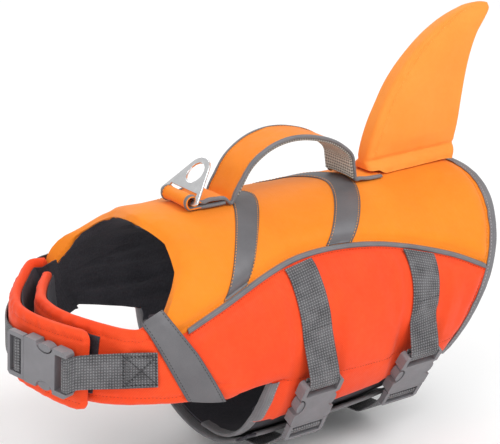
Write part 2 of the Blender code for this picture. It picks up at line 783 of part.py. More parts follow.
def make_wing(wing, group, paint):
    columns = stations(wing.length, (0, 3, 9), 9, (0, 3, 9))
    count = len(columns) - 1
    lines = len(WING_TIMES) - 1

    def point(s, t):
        return wing.middle(columns[round(s * count)] / wing.length, wing.order(WING_TIMES[round(t * lines)]))[0]

    def weight(s, t):
        return wing.thickness(columns[round(s * count)] / wing.length, WING_TIMES[round(t * lines)]) / WING_PAD
    cloth("wing_" + wing.tag, count, lines, point, paint["red"], group, WING_PAD, 0.0, None, weight)

    gap = 1.2 if wing.side == NEAR else 0.7

    def inner(s, t):
        at = columns[3 + round(s * (count - 4))] / wing.length
        return wing.inside(at, wing.order(WING_TIMES[1 + round(t * (lines - 2))]), gap)
    cloth("wing_lining_" + wing.tag, count - 4, lines - 2, inner, paint["black"], group, LINING, -1.0)


def make_diagonal_tape(wing, group, paint):
    """The tape lies partly on the wing and partly on the body panels."""
    def point(s, t):
        t = 1 - wing.order(t)
        k = round(s * 4)
        reach = DIAGONAL_ON_WING * (2 - k) / 2
        if k < 2:
            return wing.outside(reach / wing.length, mix(TAPE_RISE[wing.side], 0.98, t), LAY_GAP + 0.35)
        z = mix(DIAGONAL_SEAM.top_z, DIAGONAL_END[wing.side], t)
        x = mix(line_x(DIAGONAL_SEAM, z), line_x(DIAGONAL_REAR, z), (k - 2) / 2)
        angle = wing.side * angle_at_height(x, z, 6.0)
        if k == 2:
            return form_point(x, angle, PANEL_FOOT + EDGE_PAD + 2.6)
        bridged = pad_profile(x - front_x(min(abs(angle), 104)), BACK_PAD - 0.6)
        return form_point(x, angle, PANEL_FOOT + bridged + 1.3)
    cloth("tape_diagonal_" + wing.tag, 4, 9, point, paint["tape"], group, TAPE)


def make_patch(wing, group, paint):
    """Black fastening patch on the near wing, where the far wing closes over it."""
    def point(s, t):
        return wing.outside(mix(PATCH_START + PATCH_SLANT * t, PATCH_END, s), mix(0.12, 0.87, t), 0.4)
    cloth("fastening_patch", 5, 4, point, paint["black"], group, 0.8)


PATCH_START = 0.285
PATCH_SLANT = 0.09
PATCH_END = 0.56


# ---------------------------------------------------------------- buckles
class Pose:
    """A place for a buckle: its middle, the way towards the plug's end and the way out."""

    def __init__(self, centre, along, outward):
        self.centre = centre
        self.outward = outward.normalized()
        self.along = (along - self.outward * along.dot(self.outward)).normalized()
        self.across = self.outward.cross(self.along)

    def at(self, u, w, v=0.0):
        return self.centre + self.along * u + self.across * v + self.outward * w

    def matrix(self):
        place = Matrix.Identity(4)
        for k, way in enumerate((self.along, self.across, self.outward)):
            for row in range(3):
                place[row][k] = way[row]
        place.translation = self.centre * MM
        return place


def outline_spline(curve, points):
    spline = curve.splines.new("POLY")
    spline.points.add(len(points) - 1)
    for at, point in zip(spline.points, points):
        at.co = (point[0] * MM, point[1] * MM, 0, 1)
    spline.use_cyclic_u = True


def arc(cx, cy, radius, start, end, count, stretch=1.0):
    return [(cx + radius * math.cos(math.radians(mix(start, end, k / count))),
             cy + stretch * radius * math.sin(math.radians(mix(start, end, k / count))))
            for k in range(count + 1)]


def mesh_of(source, group, material, smooth_angle=35, keep_place=True):
    """A curve or a modified object as one welded mesh in its place."""
    bpy.context.view_layer.update()
    depsgraph = bpy.context.evaluated_depsgraph_get()
    mesh = bpy.data.meshes.new_from_object(source.evaluated_get(depsgraph))
    matrix = source.matrix_world.copy()
    name = source.name
    bpy.data.objects.remove(source, do_unlink=True)
    build = bmesh.new()
    build.from_mesh(mesh)
    bmesh.ops.remove_doubles(build, verts=build.verts, dist=0.00001)
    build.to_mesh(mesh)
    build.free()
    mesh.materials.clear()
    if not keep_place:
        mesh.transform(matrix)
    piece = add_object(name, mesh, material, group, smooth_angle)
    if keep_place:
        piece.matrix_world = matrix
    return piece


def plate(name, outlines, low, high, group, material, turned=False):
    """Flat outline, its first ring solid and the others holes, between two heights."""
    curve = bpy.data.curves.new(name, "CURVE")
    curve.dimensions = "2D"
    curve.fill_mode = "BOTH"
    curve.extrude = (high - low) / 2 * MM
    for points in outlines:
        outline_spline(curve, points)
    piece = bpy.data.objects.new(name, curve)
    group.objects.link(piece)
    if turned:
        piece.matrix_world = Matrix(((1, 0, 0, 0), (0, 0, -1, 0), (0, 1, 0, 0), (0, 0, 0, 1)))
    else:
        piece.location.z = (high + low) / 2 * MM
    return mesh_of(piece, group, material, 35, False)


def block(name, u, v, w, group, material):
    mesh = bpy.data.meshes.new(name)
    build = bmesh.new()
    bmesh.ops.create_cube(build, size=1.0)
    for vertex in build.verts:
        vertex.co = Vector((mix(u[0], u[1], vertex.co.x + 0.5), mix(v[0], v[1], vertex.co.y + 0.5),
                            mix(w[0], w[1], vertex.co.z + 0.5))) * MM
    build.to_mesh(mesh)
    build.free()
    return add_object(name, mesh, material, group)


def combine(base, others, operation):
    for other in others:
        step = base.modifiers.new(other.name, "BOOLEAN")
        step.operation = operation
        step.object = other
        step.solver = "EXACT"
    bpy.context.view_layer.update()
    depsgraph = bpy.context.evaluated_depsgraph_get()
    mesh = bpy.data.meshes.new_from_object(base.evaluated_get(depsgraph))
    base.modifiers.clear()
    base.data = mesh
    for other in others:
        bpy.data.objects.remove(other, do_unlink=True)
    return base


def make_buckle_meshes(group, tools, paint):
    """Socket and plug of the buckle, in the buckle's own frame."""
    half = BUCKLE_WIDTH / 2
    notch = arc(-7.4, half, 8.1, 0, -180, 10, 6.4 / 8.1)
    side = [(SOCKET_MOUTH, half - 1.2), (SOCKET_MOUTH - 1.2, half)] + notch
    side += arc(SOCKET_END + 3, half - 3, 3, 90, 180, 3)
    outline = side + [(x, -y) for x, y in reversed(side)]
    socket = plate("socket", [outline], -BUCKLE_THICK / 2, BUCKLE_THICK / 2, tools, paint["plastic"])
    round_bar = plate("round_bar", [
        [(SOCKET_END - 2, -6), (SLOT_END, -6), (SLOT_END, 6), (SOCKET_END - 2, 6)],
        [(BAR_START, -BAR_HALF + 0.6), (BAR_START, BAR_HALF - 0.6), (BAR_START + 0.6, BAR_HALF),
         (BAR_END - 0.6, BAR_HALF), (BAR_END, BAR_HALF - 0.6), (BAR_END, -BAR_HALF + 0.6),
         (BAR_END - 0.6, -BAR_HALF), (BAR_START + 0.6, -BAR_HALF)],
    ], -SLOT_HALF, SLOT_HALF, tools, paint["plastic"], True)
    cavity = block("cavity", (-14.6, SOCKET_MOUTH + 2), (-13.6, 13.6), (-2.3, 2.3), tools, paint["plastic"])
    combine(socket, [round_bar, cavity], "DIFFERENCE")

    ladder = [(SOCKET_MOUTH + 0.35, -half + 0.4), (PLUG_END - 2, -half + 0.4), (PLUG_END, -half + 2.4),
              (PLUG_END, half - 2.4), (PLUG_END - 2, half - 0.4), (SOCKET_MOUTH + 0.35, half - 0.4)]
    window = [(14.4, -SLOT_HALF), (25.2, -SLOT_HALF), (25.2, SLOT_HALF), (14.4, SLOT_HALF)]
    plug = plate("plug", [ladder, window], -0.2, 3.9, tools, paint["plastic"])
    middle_bar = block("middle_bar", LADDER_BAR, (-SLOT_HALF - 1, SLOT_HALF + 1), (-0.1, 1.8), tools,
                       paint["plastic"])
    arms = [(13.6, -13.2), (13.6, 13.2), (-5.0, 13.2), (-5.0, 9.6), (8.5, 9.6), (8.5, 3.2), (-12, 3.0),
            (-13.5, 1.8), (-13.5, -1.8), (-12, -3.0), (8.5, -3.2), (8.5, -9.6), (-5.0, -9.6), (-5.0, -13.2)]
    prongs = plate("prongs", [arms], -1.8, 1.8, tools, paint["plastic"])
    pads = [plate("pad_%d" % k, [arc(-7.0, side * 14.1, 5.8, 0, 330, 11, 2.9 / 5.8)], -3.4, 3.4, tools,
                  paint["plastic"]) for k, side in enumerate((-1, 1))]
    combine(plug, [prongs, middle_bar] + pads, "UNION")
    socket.hide_render = plug.hide_render = True
    socket.display_type = plug.display_type = "WIRE"
    return socket.data, plug.data


def place_buckle(tag, pose, meshes, group):
    for name, mesh in zip(("socket_", "plug_"), meshes):
        piece = bpy.data.objects.new(name + tag, mesh)
        group.objects.link(piece)
        piece.matrix_world = pose.matrix()


# ---------------------------------------------------------------- webbing
def webbing(name, path, material, group):
    """Strip of webbing along a path whose places are pairs of edge points."""
    def point(s, t):
        first, second = path[round(t * (len(path) - 1))]
        return first.lerp(second, s)
    return cloth(name, 1, len(path) - 1, point, material, group, WEB, 0.0)


def edge_pair(at, across):
    return at - across * (WEB_WIDTH / 2), at + across * (WEB_WIDTH / 2)


SOCKET_LOOP = ((-35, -1.8), (-29.5, 2.1), (-27, 2.75), (-24.2, 2.75), (-22.7, 1.9), (-22.2, 0), (-22.7, -1.9),
               (-24.2, -2.75), (-29.5, -2.95))
PLUG_LOOP = ((31, -3.15), (20, -3.15), (17.6, -2.9), (16.8, -1.7), (16.8, 1.2), (17.5, 2.6), (18.6, 2.95),
             (20.6, 2.95), (21.7, 2.6), (22.4, 1.2), (22.5, -0.3), (23.3, -1.2), (24.6, -1.35), (27, -1.35))


def strap_on_side(strap, side, row, lift):
    """Edge points of a belly strap at one row of the side panel."""
    pair = []
    for beside in (-WEB_WIDTH / 2, WEB_WIDTH / 2):
        edge = strap.top_x + beside
        for _ in range(5):
            angle = side_angles(edge, side)[row]
            edge = strap_x(strap, angle) + beside
        pair.append(form_point(edge, side * angle, body_top(edge, side * angle) + lift))
    return tuple(pair)


def make_belly_straps(group, paint, meshes):
    lift = LAY_GAP + WEB / 2
    for strap in STRAPS:
        x = strap.x
        foot = form_point(x, -strap.buckle_angle, body_top(x, -115))
        lean = math.radians(strap.lean)
        along = Vector((0, -math.cos(lean), -math.sin(lean)))
        outward = Vector((0, -math.sin(lean), math.cos(lean)))
        pose = Pose(foot + outward * (BUCKLE_THICK / 2 + 0.6), along, outward)
        place_buckle("belly_" + strap.name, pose, meshes, group)
        across = Vector((1, 0, 0))

        rows = [row for row in range(1, SIDE_ROWS)
                if side_angles(x, NEAR)[row] < strap.buckle_angle - 39 / ARC_STEP]
        path = [strap_on_side(strap, NEAR, row, lift) for row in rows]
        path += [edge_pair(pose.at(u, w), across) for u, w in SOCKET_LOOP]
        webbing("webbing_belly_upper_" + strap.name, path, paint["web"], group)

        path = [edge_pair(pose.at(u, w), across) for u, w in reversed(PLUG_LOOP)]
        over_flap = FLAP_OUT + FLAP + 1.7
        start = strap.buckle_angle + 34
        for angle in [start + 5 * k for k in range(20) if start + 5 * k < 360 - LOWER_ANGLE - 9]:
            out = over_flap + 4.5 * (1 - smooth((angle - start) / 16))
            path.append(edge_pair(form_point(x, -angle, out + lift), across))
        path.append(edge_pair(form_point(x, LOWER_ANGLE + 4, over_flap + lift + 0.3), across))
        path.append(edge_pair(form_point(x, LOWER_ANGLE, over_flap + lift + 0.6), across))
        path += [strap_on_side(strap, FAR, row, lift) for row in range(SIDE_ROWS - 1, 0, -1)]
        webbing("webbing_belly_lower_" + strap.name, path, paint["web"], group)


CHEST_HEIGHT = 0.47      # how far down the wings the chest strap runs
CHEST_STATION = 0.80     # where the buckle's middle lies along the far wing

# The chest strap's sewn end on the near wing: shares along and down the wing for its two edges.
StrapRow = namedtuple("StrapRow", "top_along top_down low_along low_down")
CHEST_END = (
    StrapRow(0.078, 0.29, 0.122, 0.705), StrapRow(0.100, 0.24, 0.160, 0.715), StrapRow(0.137, 0.225, 0.209, 0.735),
    StrapRow(0.194, 0.25, 0.254, 0.755),
)


def make_chest_strap(near, far, group, paint, meshes):
    lift = LAY_GAP + WEB / 2
    middle, normal = far.middle(CHEST_STATION, CHEST_HEIGHT)
    ahead = far.outside(CHEST_STATION + 0.10, CHEST_HEIGHT)
    behind = far.outside(CHEST_STATION - 0.13, CHEST_HEIGHT - 0.02)
    along = behind - ahead
    outward = along.cross(far.upward(CHEST_STATION))
    if outward.dot(normal) < 0:
        outward = -outward
    pose = Pose(far.outside(CHEST_STATION, CHEST_HEIGHT, BUCKLE_THICK / 2 + 0.6), along, outward)
    place_buckle("chest", pose, meshes, group)
    across = pose.across if pose.across.z > 0 else -pose.across

    path = [(near.outside(row.low_along, row.low_down, lift + 0.9), near.outside(row.top_along, row.top_down, lift + 0.9))
            for row in CHEST_END]
    path += [edge_pair(pose.at(u, w), across) for u, w in SOCKET_LOOP]
    webbing("webbing_chest_near", path, paint["web"], group)

    end = CHEST_STATION - 33 / far.length
    path = [edge_pair(far.outside(mix(0.14, end, k / 10), CHEST_HEIGHT, lift), far.upward(mix(0.14, end, k / 10)))
            for k in range(11)]
    path += [edge_pair(pose.at(u, w), across) for u, w in PLUG_LOOP]
    path += [edge_pair(pose.at(31, -1.35), across)]
    webbing("webbing_chest_far", path, paint["web"], group)


# ---------------------------------------------------------------- handle, roll and ring
def hook_round(centre, radius, start, end, count, first, second):
    """Points on an arc about centre in the plane of the directions first and second."""
    return [centre + first * (radius * math.cos(math.radians(mix(start, end, k / count))))
            + second * (radius * math.sin(math.radians(mix(start, end, k / count))))
            for k in range(count + 1)]


def panel_z(x, y=0.0):
    angle = math.degrees(math.asin(clamp(y / 90.0, -1, 1)))
    return form_point(x, angle, body_top(x, angle)).z


def handle_path():
    """Middle of the cover cloth from its tail under the fin to the end of the ring roll."""
    half = HANDLE_CLOTH / 2
    rest = panel_z(STRAP_TAIL_X) + LAY_GAP + half
    path = [Vector((STRAP_TAIL_X, 0, rest + 0.2)), Vector((97, 0, rest + 0.6)), Vector((88.5, 0, rest + 2.0))]
    arch = [Vector((row.x, 0, row.z)) for row in reversed(HANDLE_ARCH)]
    count = 19
    for k in range(count + 1):
        at = spline_point(arch, k / count)
        ahead = spline_point(arch, min(1, k / count + 0.01)) - spline_point(arch, max(0, k / count - 0.01))
        normal = Vector((ahead.z, 0, -ahead.x)).normalized()
        path.append(at - normal * half)
    low = panel_z(ROLL_X) + LAY_GAP + half + 0.6
    centre = Vector((ROLL_X, 0, low + ROLL_RADIUS))
    path.append(Vector((-34, 0, low + 2.9)))
    path.append(Vector((-42, 0, low + 3.4)))
    path.append(Vector((-49, 0, low + 3.9)))
    path.append(Vector((-55, 0, low + 4.9)))
    across = Vector((1, 0, 0))
    up = Vector((0, 0, 1))
    path += hook_round(centre, ROLL_RADIUS, 48, 270, 8, across, up)
    path.append(Vector((-51, 0, low - 0.1)))
    path.append(Vector((-42, 0, low - 0.5)))
    path.append(Vector((-33, 0, low - 0.6)))
    return path, centre


def drape_on_back(point, y):
    """Lower a point of the flat strap as far as the back falls away beside the spine."""
    near_panel = smooth((24.0 - point.z) / 10.0)
    drop = panel_z(point.x, y) - panel_z(point.x, 0.0)
    return Vector((point.x, y, point.z + drop * near_panel))


def make_handle(group, paint):
    path, centre = handle_path()
    steps = len(path) - 1

    def cover(s, t):
        return drape_on_back(path[round(t * steps)], mix(-0.5, 0.5, s) * HANDLE_WIDTH)
    cloth("handle_cover", 4, steps, cover, paint["yellow"], group, HANDLE_CLOTH, 0.0)

    first = 4
    last = 20
    grip = []
    for k in range(first, last + 1):
        way = path[k + 1] - path[k - 1]
        normal = Vector((way.z, 0, -way.x)).normalized()
        grip.append(path[k] - normal * (HANDLE_CLOTH / 2 + SEAM_GAP + GRIP_PAD / 2))
    count = len(grip) - 1

    def mesh_grip(s, t):
        return drape_on_back(grip[round(t * count)], mix(-0.5, 0.5, s) * (HANDLE_WIDTH - 1))
    cloth("handle_grip", 2, count, mesh_grip, paint["mesh"], group, GRIP_PAD, 0.0)

    for side, tag in ((NEAR, "near"), (FAR, "far")):
        def edge(s, t, side=side):
            k = round(mix(first - 2, last + 1, s))
            way = path[k + 1] - path[k - 1]
            normal = Vector((way.z, 0, -way.x)).normalized()
            y = HANDLE_WIDTH / 2
            low = -(HANDLE_CLOTH / 2 + SEAM_GAP + GRIP_PAD + 0.8)
            high = HANDLE_CLOTH / 2 + 0.8
            if k < first or k > last:
                low = -(HANDLE_CLOTH / 2 + 0.8)
            across = ((y - 2.4, high), (y + 0.5, high), (y + 1.1, mix(high, low, 0.35)),
                      (y + 1.1, mix(high, low, 0.65)), (y + 0.5, low), (y - 2.4, low))
            j = round(t * 5)
            if side == NEAR:
                j = 5 - j
            width, height = across[j]
            return drape_on_back(path[k] + normal * height, side * width)
        cloth("handle_binding_" + tag, last + 1 - first + 2, 5, edge, paint["grey"], group, 0.8, 0.0)
    return centre


RING_BASE = 21.5          # half width at the bar
RING_TOP_RADIUS = 10.5
RING_HEIGHT = 33.0        # from the bar's middle to the top
RING_EYE = 20.6           # from the bar's middle to the eye's
RING_EYE_RADIUS = 8.1
RING_PLATE = 1.8
RING_LEAN = 45.0          # leans back from upright


def make_ring(centre, group, paint):
    """Stamped plate with its bar in the roll, an eye for the leash and a slot above the bar."""
    curve = bpy.data.curves.new("leash_ring", "CURVE")
    curve.dimensions = "2D"
    curve.fill_mode = "BOTH"
    curve.extrude = (RING_PLATE / 2 - 0.4) * MM
    curve.bevel_depth = 0.4 * MM
    curve.bevel_resolution = 1
    outline = arc(0, RING_HEIGHT - RING_TOP_RADIUS, RING_TOP_RADIUS, 20, 160, 8)
    outline += arc(-RING_BASE + 2.5, 1.0, 2.6, 170, 270, 4)
    outline += arc(RING_BASE - 2.5, 1.0, 2.6, 270, 370, 4)
    outline_spline(curve, outline)
    outline_spline(curve, list(reversed(arc(0, RING_EYE, RING_EYE_RADIUS, 0, 345, 15, 1.06))))
    slot = [(-17.6, 1.1), (-16.2, 7.4), (16.2, 7.4), (17.6, 1.1)]
    outline_spline(curve, slot)
    ring = bpy.data.objects.new("leash_ring", curve)
    group.objects.link(ring)
    lean = math.radians(RING_LEAN)
    across = Vector((0, -1, 0))
    up = Vector((math.sin(lean), 0, math.cos(lean)))
    face = across.cross(up)
    place = Matrix.Identity(4)
    for k, way in enumerate((across, up, face)):
        place[0][k] = way.x
        place[1][k] = way.y
        place[2][k] = way.z
    place.translation = Vector((centre.x, centre.y, centre.z)) * MM
    ring.matrix_world = place
    solid = mesh_of(ring, group, paint["steel"])
    return solid


# ---------------------------------------------------------------- fin
def make_fin(group, paint):
    corner = 3
    levels = 15
    sides = 7
    zs = [row.z for row in FIN]

    def ring_points(f):
        z = mix(zs[0], zs[-1], f)
        front = curve_value(FIN, "z", "front", z)
        rear = curve_value(FIN, "z", "rear", z)
        half = curve_value(FIN, "z", "half", z)
        nose = min(half * 0.75, 4.5)
        points = []
        points += arc(front + nose, half - nose, nose, 180, 90, corner)
        points += [(mix(front + nose, rear - nose, k / sides), half) for k in range(1, sides)]
        points += arc(rear - nose, half - nose, nose, 90, 0, corner)
        points += arc(rear - nose, -(half - nose), nose, 0, -90, corner)
        points += [(mix(rear - nose, front + nose, k / sides), -half) for k in range(1, sides)]
        points += arc(front + nose, -(half - nose), nose, -90, -180, corner)
        return z, points

    mesh = bpy.data.meshes.new("fin")
    build = bmesh.new()
    rings = []
    for k in range(levels + 1):
        f = k / levels
        z, points = ring_points(f)
        ring = []
        for x, y in points:
            height = z
            if k == 0:
                strap = 3.4 * smooth((STRAP_TAIL_X + 8 - x) / 8)
                height = max(panel_z(x - 5), panel_z(x), panel_z(x + 5)) + LAY_GAP - 0.1 + strap
            ring.append(build.verts.new(Vector((x, y, height)) * MM))
        rings.append(ring)
    count = len(rings[0])
    for low, high in zip(rings, rings[1:]):
        for i in range(count):
            j = (i + 1) % count
            build.faces.new((low[j], low[i], high[i], high[j]))
    top_z, top_points = ring_points(1.0)
    middle_x = sum(p[0] for p in top_points) / count
    tip = build.verts.new(Vector((middle_x, 0, top_z + 1.6)) * MM)
    for i in range(count):
        j = (i + 1) % count
        build.faces.new((rings[-1][j], rings[-1][i], tip))
    foot = rings[0]
    for i in range(count // 2 - 1):
        build.faces.new((foot[i], foot[i + 1], foot[count - 2 - i], foot[count - 1 - i]))
    bmesh.ops.recalc_face_normals(build, faces=build.faces)
    build.to_mesh(mesh)
    build.free()
    add_object("fin", mesh, paint["orange"], group, 50)


# ---------------------------------------------------------------- main
def make_paints():
    return {
        "yellow": principled("yellow_orange_cloth", (0.95, 0.30, 0.02), 0.75),
        "orange": principled("fin_cloth", (0.95, 0.26, 0.02), 0.75),
        "red": principled("red_orange_cloth", (0.96, 0.08, 0.01), 0.72),
        "black": principled("black_lining", (0.02, 0.02, 0.022), 0.85),
        "grey": principled("grey_binding", (0.17, 0.17, 0.175), 0.8),
        "tape": principled("reflective_tape", (0.20, 0.195, 0.205), 0.45),
        "web": principled("grey_webbing", (0.16, 0.16, 0.17), 0.85),
        "mesh": principled("air_mesh", (0.42, 0.38, 0.33), 0.9),
        "plastic": principled("grey_plastic", (0.24, 0.235, 0.25), 0.5),
        "steel": principled("bright_steel", (0.8, 0.8, 0.8), 0.2, 1.0),
    }


def main():
    clear_scene()
    group = new_collection("dog_life_jacket")
    tools = new_collection("construction")
    paint = make_paints()
    make_body(group, paint)
    make_arch_tapes(group, paint)
    make_cross_tapes(group, paint)
    make_bindings(group, paint)
    make_flaps(group, paint)
    near = Wing("near", NEAR, NEAR_WING, 0.25)
    far = Wing("far", FAR, FAR_WING, 0.16)
    for wing in (near, far):
        make_wing(wing, group, paint)
        make_diagonal_tape(wing, group, paint)
    make_patch(near, group, paint)
    meshes = make_buckle_meshes(group, tools, paint)
    make_belly_straps(group, paint, meshes)
    make_chest_strap(near, far, group, paint, meshes)
    centre = make_handle(group, paint)
    make_ring(centre, group, paint)
    make_fin(group, paint)


main()
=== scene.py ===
"""Dog life jacket: cloth, foam, webbing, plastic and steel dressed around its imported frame.

Sizes are millimetres and degrees unless a name says metres. X runs along the spine with the head
towards -X, the near side is -Y and Z is up. The cloth lies on one form, the inner face of the
lining, where a place is given by x and by a girth angle: 0 on the spine, negative down the near
side, 180 under the belly.
"""

import logging
import math
from dataclasses import dataclass, field
from enum import Enum, IntEnum
from typing import Callable, Optional, Sequence

import bmesh
import bpy
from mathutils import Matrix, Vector, noise

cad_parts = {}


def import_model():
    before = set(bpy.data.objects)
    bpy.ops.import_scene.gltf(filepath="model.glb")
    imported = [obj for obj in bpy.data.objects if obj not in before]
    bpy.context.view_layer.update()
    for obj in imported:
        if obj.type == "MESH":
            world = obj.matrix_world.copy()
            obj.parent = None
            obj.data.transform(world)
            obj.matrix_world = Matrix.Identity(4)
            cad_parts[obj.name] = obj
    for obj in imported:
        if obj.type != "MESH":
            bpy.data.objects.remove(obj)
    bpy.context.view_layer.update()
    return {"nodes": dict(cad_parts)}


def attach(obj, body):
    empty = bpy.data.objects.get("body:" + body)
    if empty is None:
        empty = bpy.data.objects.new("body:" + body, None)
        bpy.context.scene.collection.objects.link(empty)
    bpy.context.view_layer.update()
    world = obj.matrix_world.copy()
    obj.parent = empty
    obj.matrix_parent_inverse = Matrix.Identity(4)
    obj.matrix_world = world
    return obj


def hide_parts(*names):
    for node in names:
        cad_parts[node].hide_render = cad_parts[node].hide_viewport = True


LOG = logging.getLogger("dog_life_jacket")
MM = 0.001
Row = Sequence[float]
Grid = list[list[Vector]]
Place = tuple[float, float]
Color = tuple[float, float, float]
JACKET = "jacket"
ROUNDS = 6
HALVINGS = 18


class Side(IntEnum):
    """The two flanks, by the sign of their Y."""

    NEAR = -1
    BACK = 0
    FAR = 1


FLANKS = ((Side.NEAR, "near"), (Side.FAR, "far"))


# ---------------------------------------------------------------- small maths
def clamp(value: float, low: float = 0.0, high: float = 1.0) -> float:
    """The value kept between low and high."""
    return max(low, min(high, value))


def smooth(value: float) -> float:
    """The value from 0 to 1 with soft ends."""
    value = clamp(value)
    return value * value * (3 - 2 * value)


def mix(a: float, b: float, t: float) -> float:
    """The value a share t of the way from a to b."""
    return a + (b - a) * t


def hump(value: float, middle: float, width: float) -> float:
    """Bell curve: 1 at its middle and near 0 two widths away."""
    return math.exp(-((value - middle) / width) ** 2)


def curve(rows: Sequence[Row], column: int, at: float) -> float:
    """Smooth value of a table.

    Args:
        rows: rows in rising order of their first column.
        column: the column that is read.
        at: value of the first column.

    Returns:
        The column's value there, with slopes taken from the rows on either side.
    """
    last = len(rows) - 1
    at = clamp(at, rows[0][0], rows[-1][0])
    i = 0
    while i < last - 1 and at > rows[i + 1][0]:
        i += 1

    def slope(k: int) -> float:
        """Slope of the column at row k."""
        low, high = rows[max(0, k - 1)], rows[min(last, k + 1)]
        return (high[column] - low[column]) / (high[0] - low[0])

    span = rows[i + 1][0] - rows[i][0]
    t = (at - rows[i][0]) / span
    t2, t3 = t * t, t * t * t
    return ((2 * t3 - 3 * t2 + 1) * rows[i][column] + (t3 - 2 * t2 + t) * span * slope(i)
            + (3 * t2 - 2 * t3) * rows[i + 1][column] + (t3 - t2) * span * slope(i + 1))


def spline(points: Sequence[Vector], t: float) -> Vector:
    """Point on a smooth curve.

    Args:
        points: the points that it passes through.
        t: place along it, from 0 to 1.

    Returns:
        The point there.
    """
    count = len(points) - 1
    at = clamp(t) * count
    i = min(int(at), count - 1)
    f = at - i
    p0, p1, p2, p3 = points[max(0, i - 1)], points[i], points[i + 1], points[min(count, i + 2)]
    f2, f3 = f * f, f * f * f
    return (p1 * (2 * f3 - 3 * f2 + 1) + (p2 - p0) * (0.5 * (f3 - 2 * f2 + f))
            + p2 * (3 * f2 - 2 * f3) + (p3 - p1) * (0.5 * (f3 - f2)))


def stations(length: float, head: Sequence[float], middle: int,
             tail: Sequence[float]) -> list[float]:
    """Places from 0 to length.

    Args:
        length: where the last place is.
        head: distances from the start.
        middle: how many even places lie between head and tail.
        tail: rising distances from the end.

    Returns:
        The places in rising order.
    """
    last = [length - d for d in reversed(tail)]
    return list(head) + [mix(head[-1], last[0], (k + 1) / (middle + 1))
                         for k in range(middle)] + last


class Table:
    """A function of one number kept as values at even steps."""

    def __init__(self, function: Callable[[float], float], start: float, end: float,
                 step: float) -> None:
        """Fill the table.

        Args:
            function: the function to keep.
            start: first number.
            end: last number.
            step: distance between two numbers.
        """
        self.start = start
        self.step = step
        steps = int(round((end - start) / step))
        self.values = [function(start + step * k) for k in range(steps + 1)]

    def __call__(self, at: float) -> float:
        """The function's value at a number, straight between two steps.

        Args:
            at: the number.

        Returns:
            The value.
        """
        f = clamp((at - self.start) / self.step, 0, len(self.values) - 1.0001)
        i = int(f)
        return mix(self.values[i], self.values[i + 1], f - i)


def ripple(along: float, lane: float, spacing: float) -> float:
    """Uneven wave from -1 to 1 along a seam, another one for each lane."""
    return noise.noise(Vector((along / spacing, lane * 7.3, 2.7))) * 1.9


@dataclass(frozen=True)
class Gather:
    """Small gathers beside a seam: height, spacing, distance from the seam and width."""

    height: float
    spacing: float
    middle: float
    width: float

    def at(self, along: float, lane: float, distance: float) -> float:
        """Height at a run along the seam and a distance from it, another one for each lane."""
        rise = self.height * ripple(along, lane, self.spacing)
        return rise * hump(distance, self.middle, self.width)


# ---------------------------------------------------------------- the form and its panels
@dataclass(frozen=True)
class Crease:
    """Soft valley, or a ridge where its depth is negative, between two places on the form."""

    x0: float
    angle0: float
    x1: float
    angle1: float
    width: float
    depth: float

    def at(self, x: float, angle: float) -> float:
        """Depth of the crease at a place.

        Args:
            x: place along X.
            angle: girth angle.

        Returns:
            How far the cloth lies in, in millimetres.
        """
        dx, da = self.x1 - self.x0, (self.angle1 - self.angle0) * ARC
        px, pa = x - self.x0, (angle - self.angle0) * ARC
        t = (px * dx + pa * da) / (dx * dx + da * da)
        if t < -0.3 or t > 1.3:
            return 0.0
        beside = (px * da - pa * dx) / math.hypot(dx, da)
        if abs(beside) > 3.2 * self.width:
            return 0.0
        ends = smooth((t + 0.25) / 0.4) * smooth((1.25 - t) / 0.4)
        return self.depth * ends * math.exp(-(beside / self.width) ** 2)


@dataclass(frozen=True)
class BellyStrap:
    """Strap round the belly: x at its seam and buckle, and angles of buckle and sewn bar."""

    name: str
    top_x: float
    x: float
    buckle_angle: float
    lean: float
    bar_angle: float

    def at(self, angle: float) -> float:
        """x of the strap's middle at a girth angle."""
        return mix(self.top_x, self.x, smooth((abs(angle) - 68.0) / (self.buckle_angle - 76.0)))


@dataclass(frozen=True)
class Layout:
    """Columns of a sheet along X: from its front edge, fixed ones, and from its rear edge."""

    head: Row
    middle: int
    first: float
    fixed: Row
    slanting: Row
    tail: Row

    @property
    def corner(self) -> int:
        """Column of the belly part's front edge."""
        return len(self.head) + self.middle

    @property
    def count(self) -> int:
        """How many spans the columns have."""
        return self.corner + 1 + len(self.fixed) + len(self.slanting) + len(self.tail)


ARC = math.radians(1.0) * 86.0
STRAPS = (BellyStrap("front", -8.0, -8.0, 119.5, 117.5, 81.0),
          BellyStrap("rear", 96.0, 85.5, 124.0, 122.0, 85.0))
SEAM_STEPS = (0, 3.5, 8, 15)
BACK_ROWS = 13
LEG_ROW = 9
SIDE_ROWS = 13


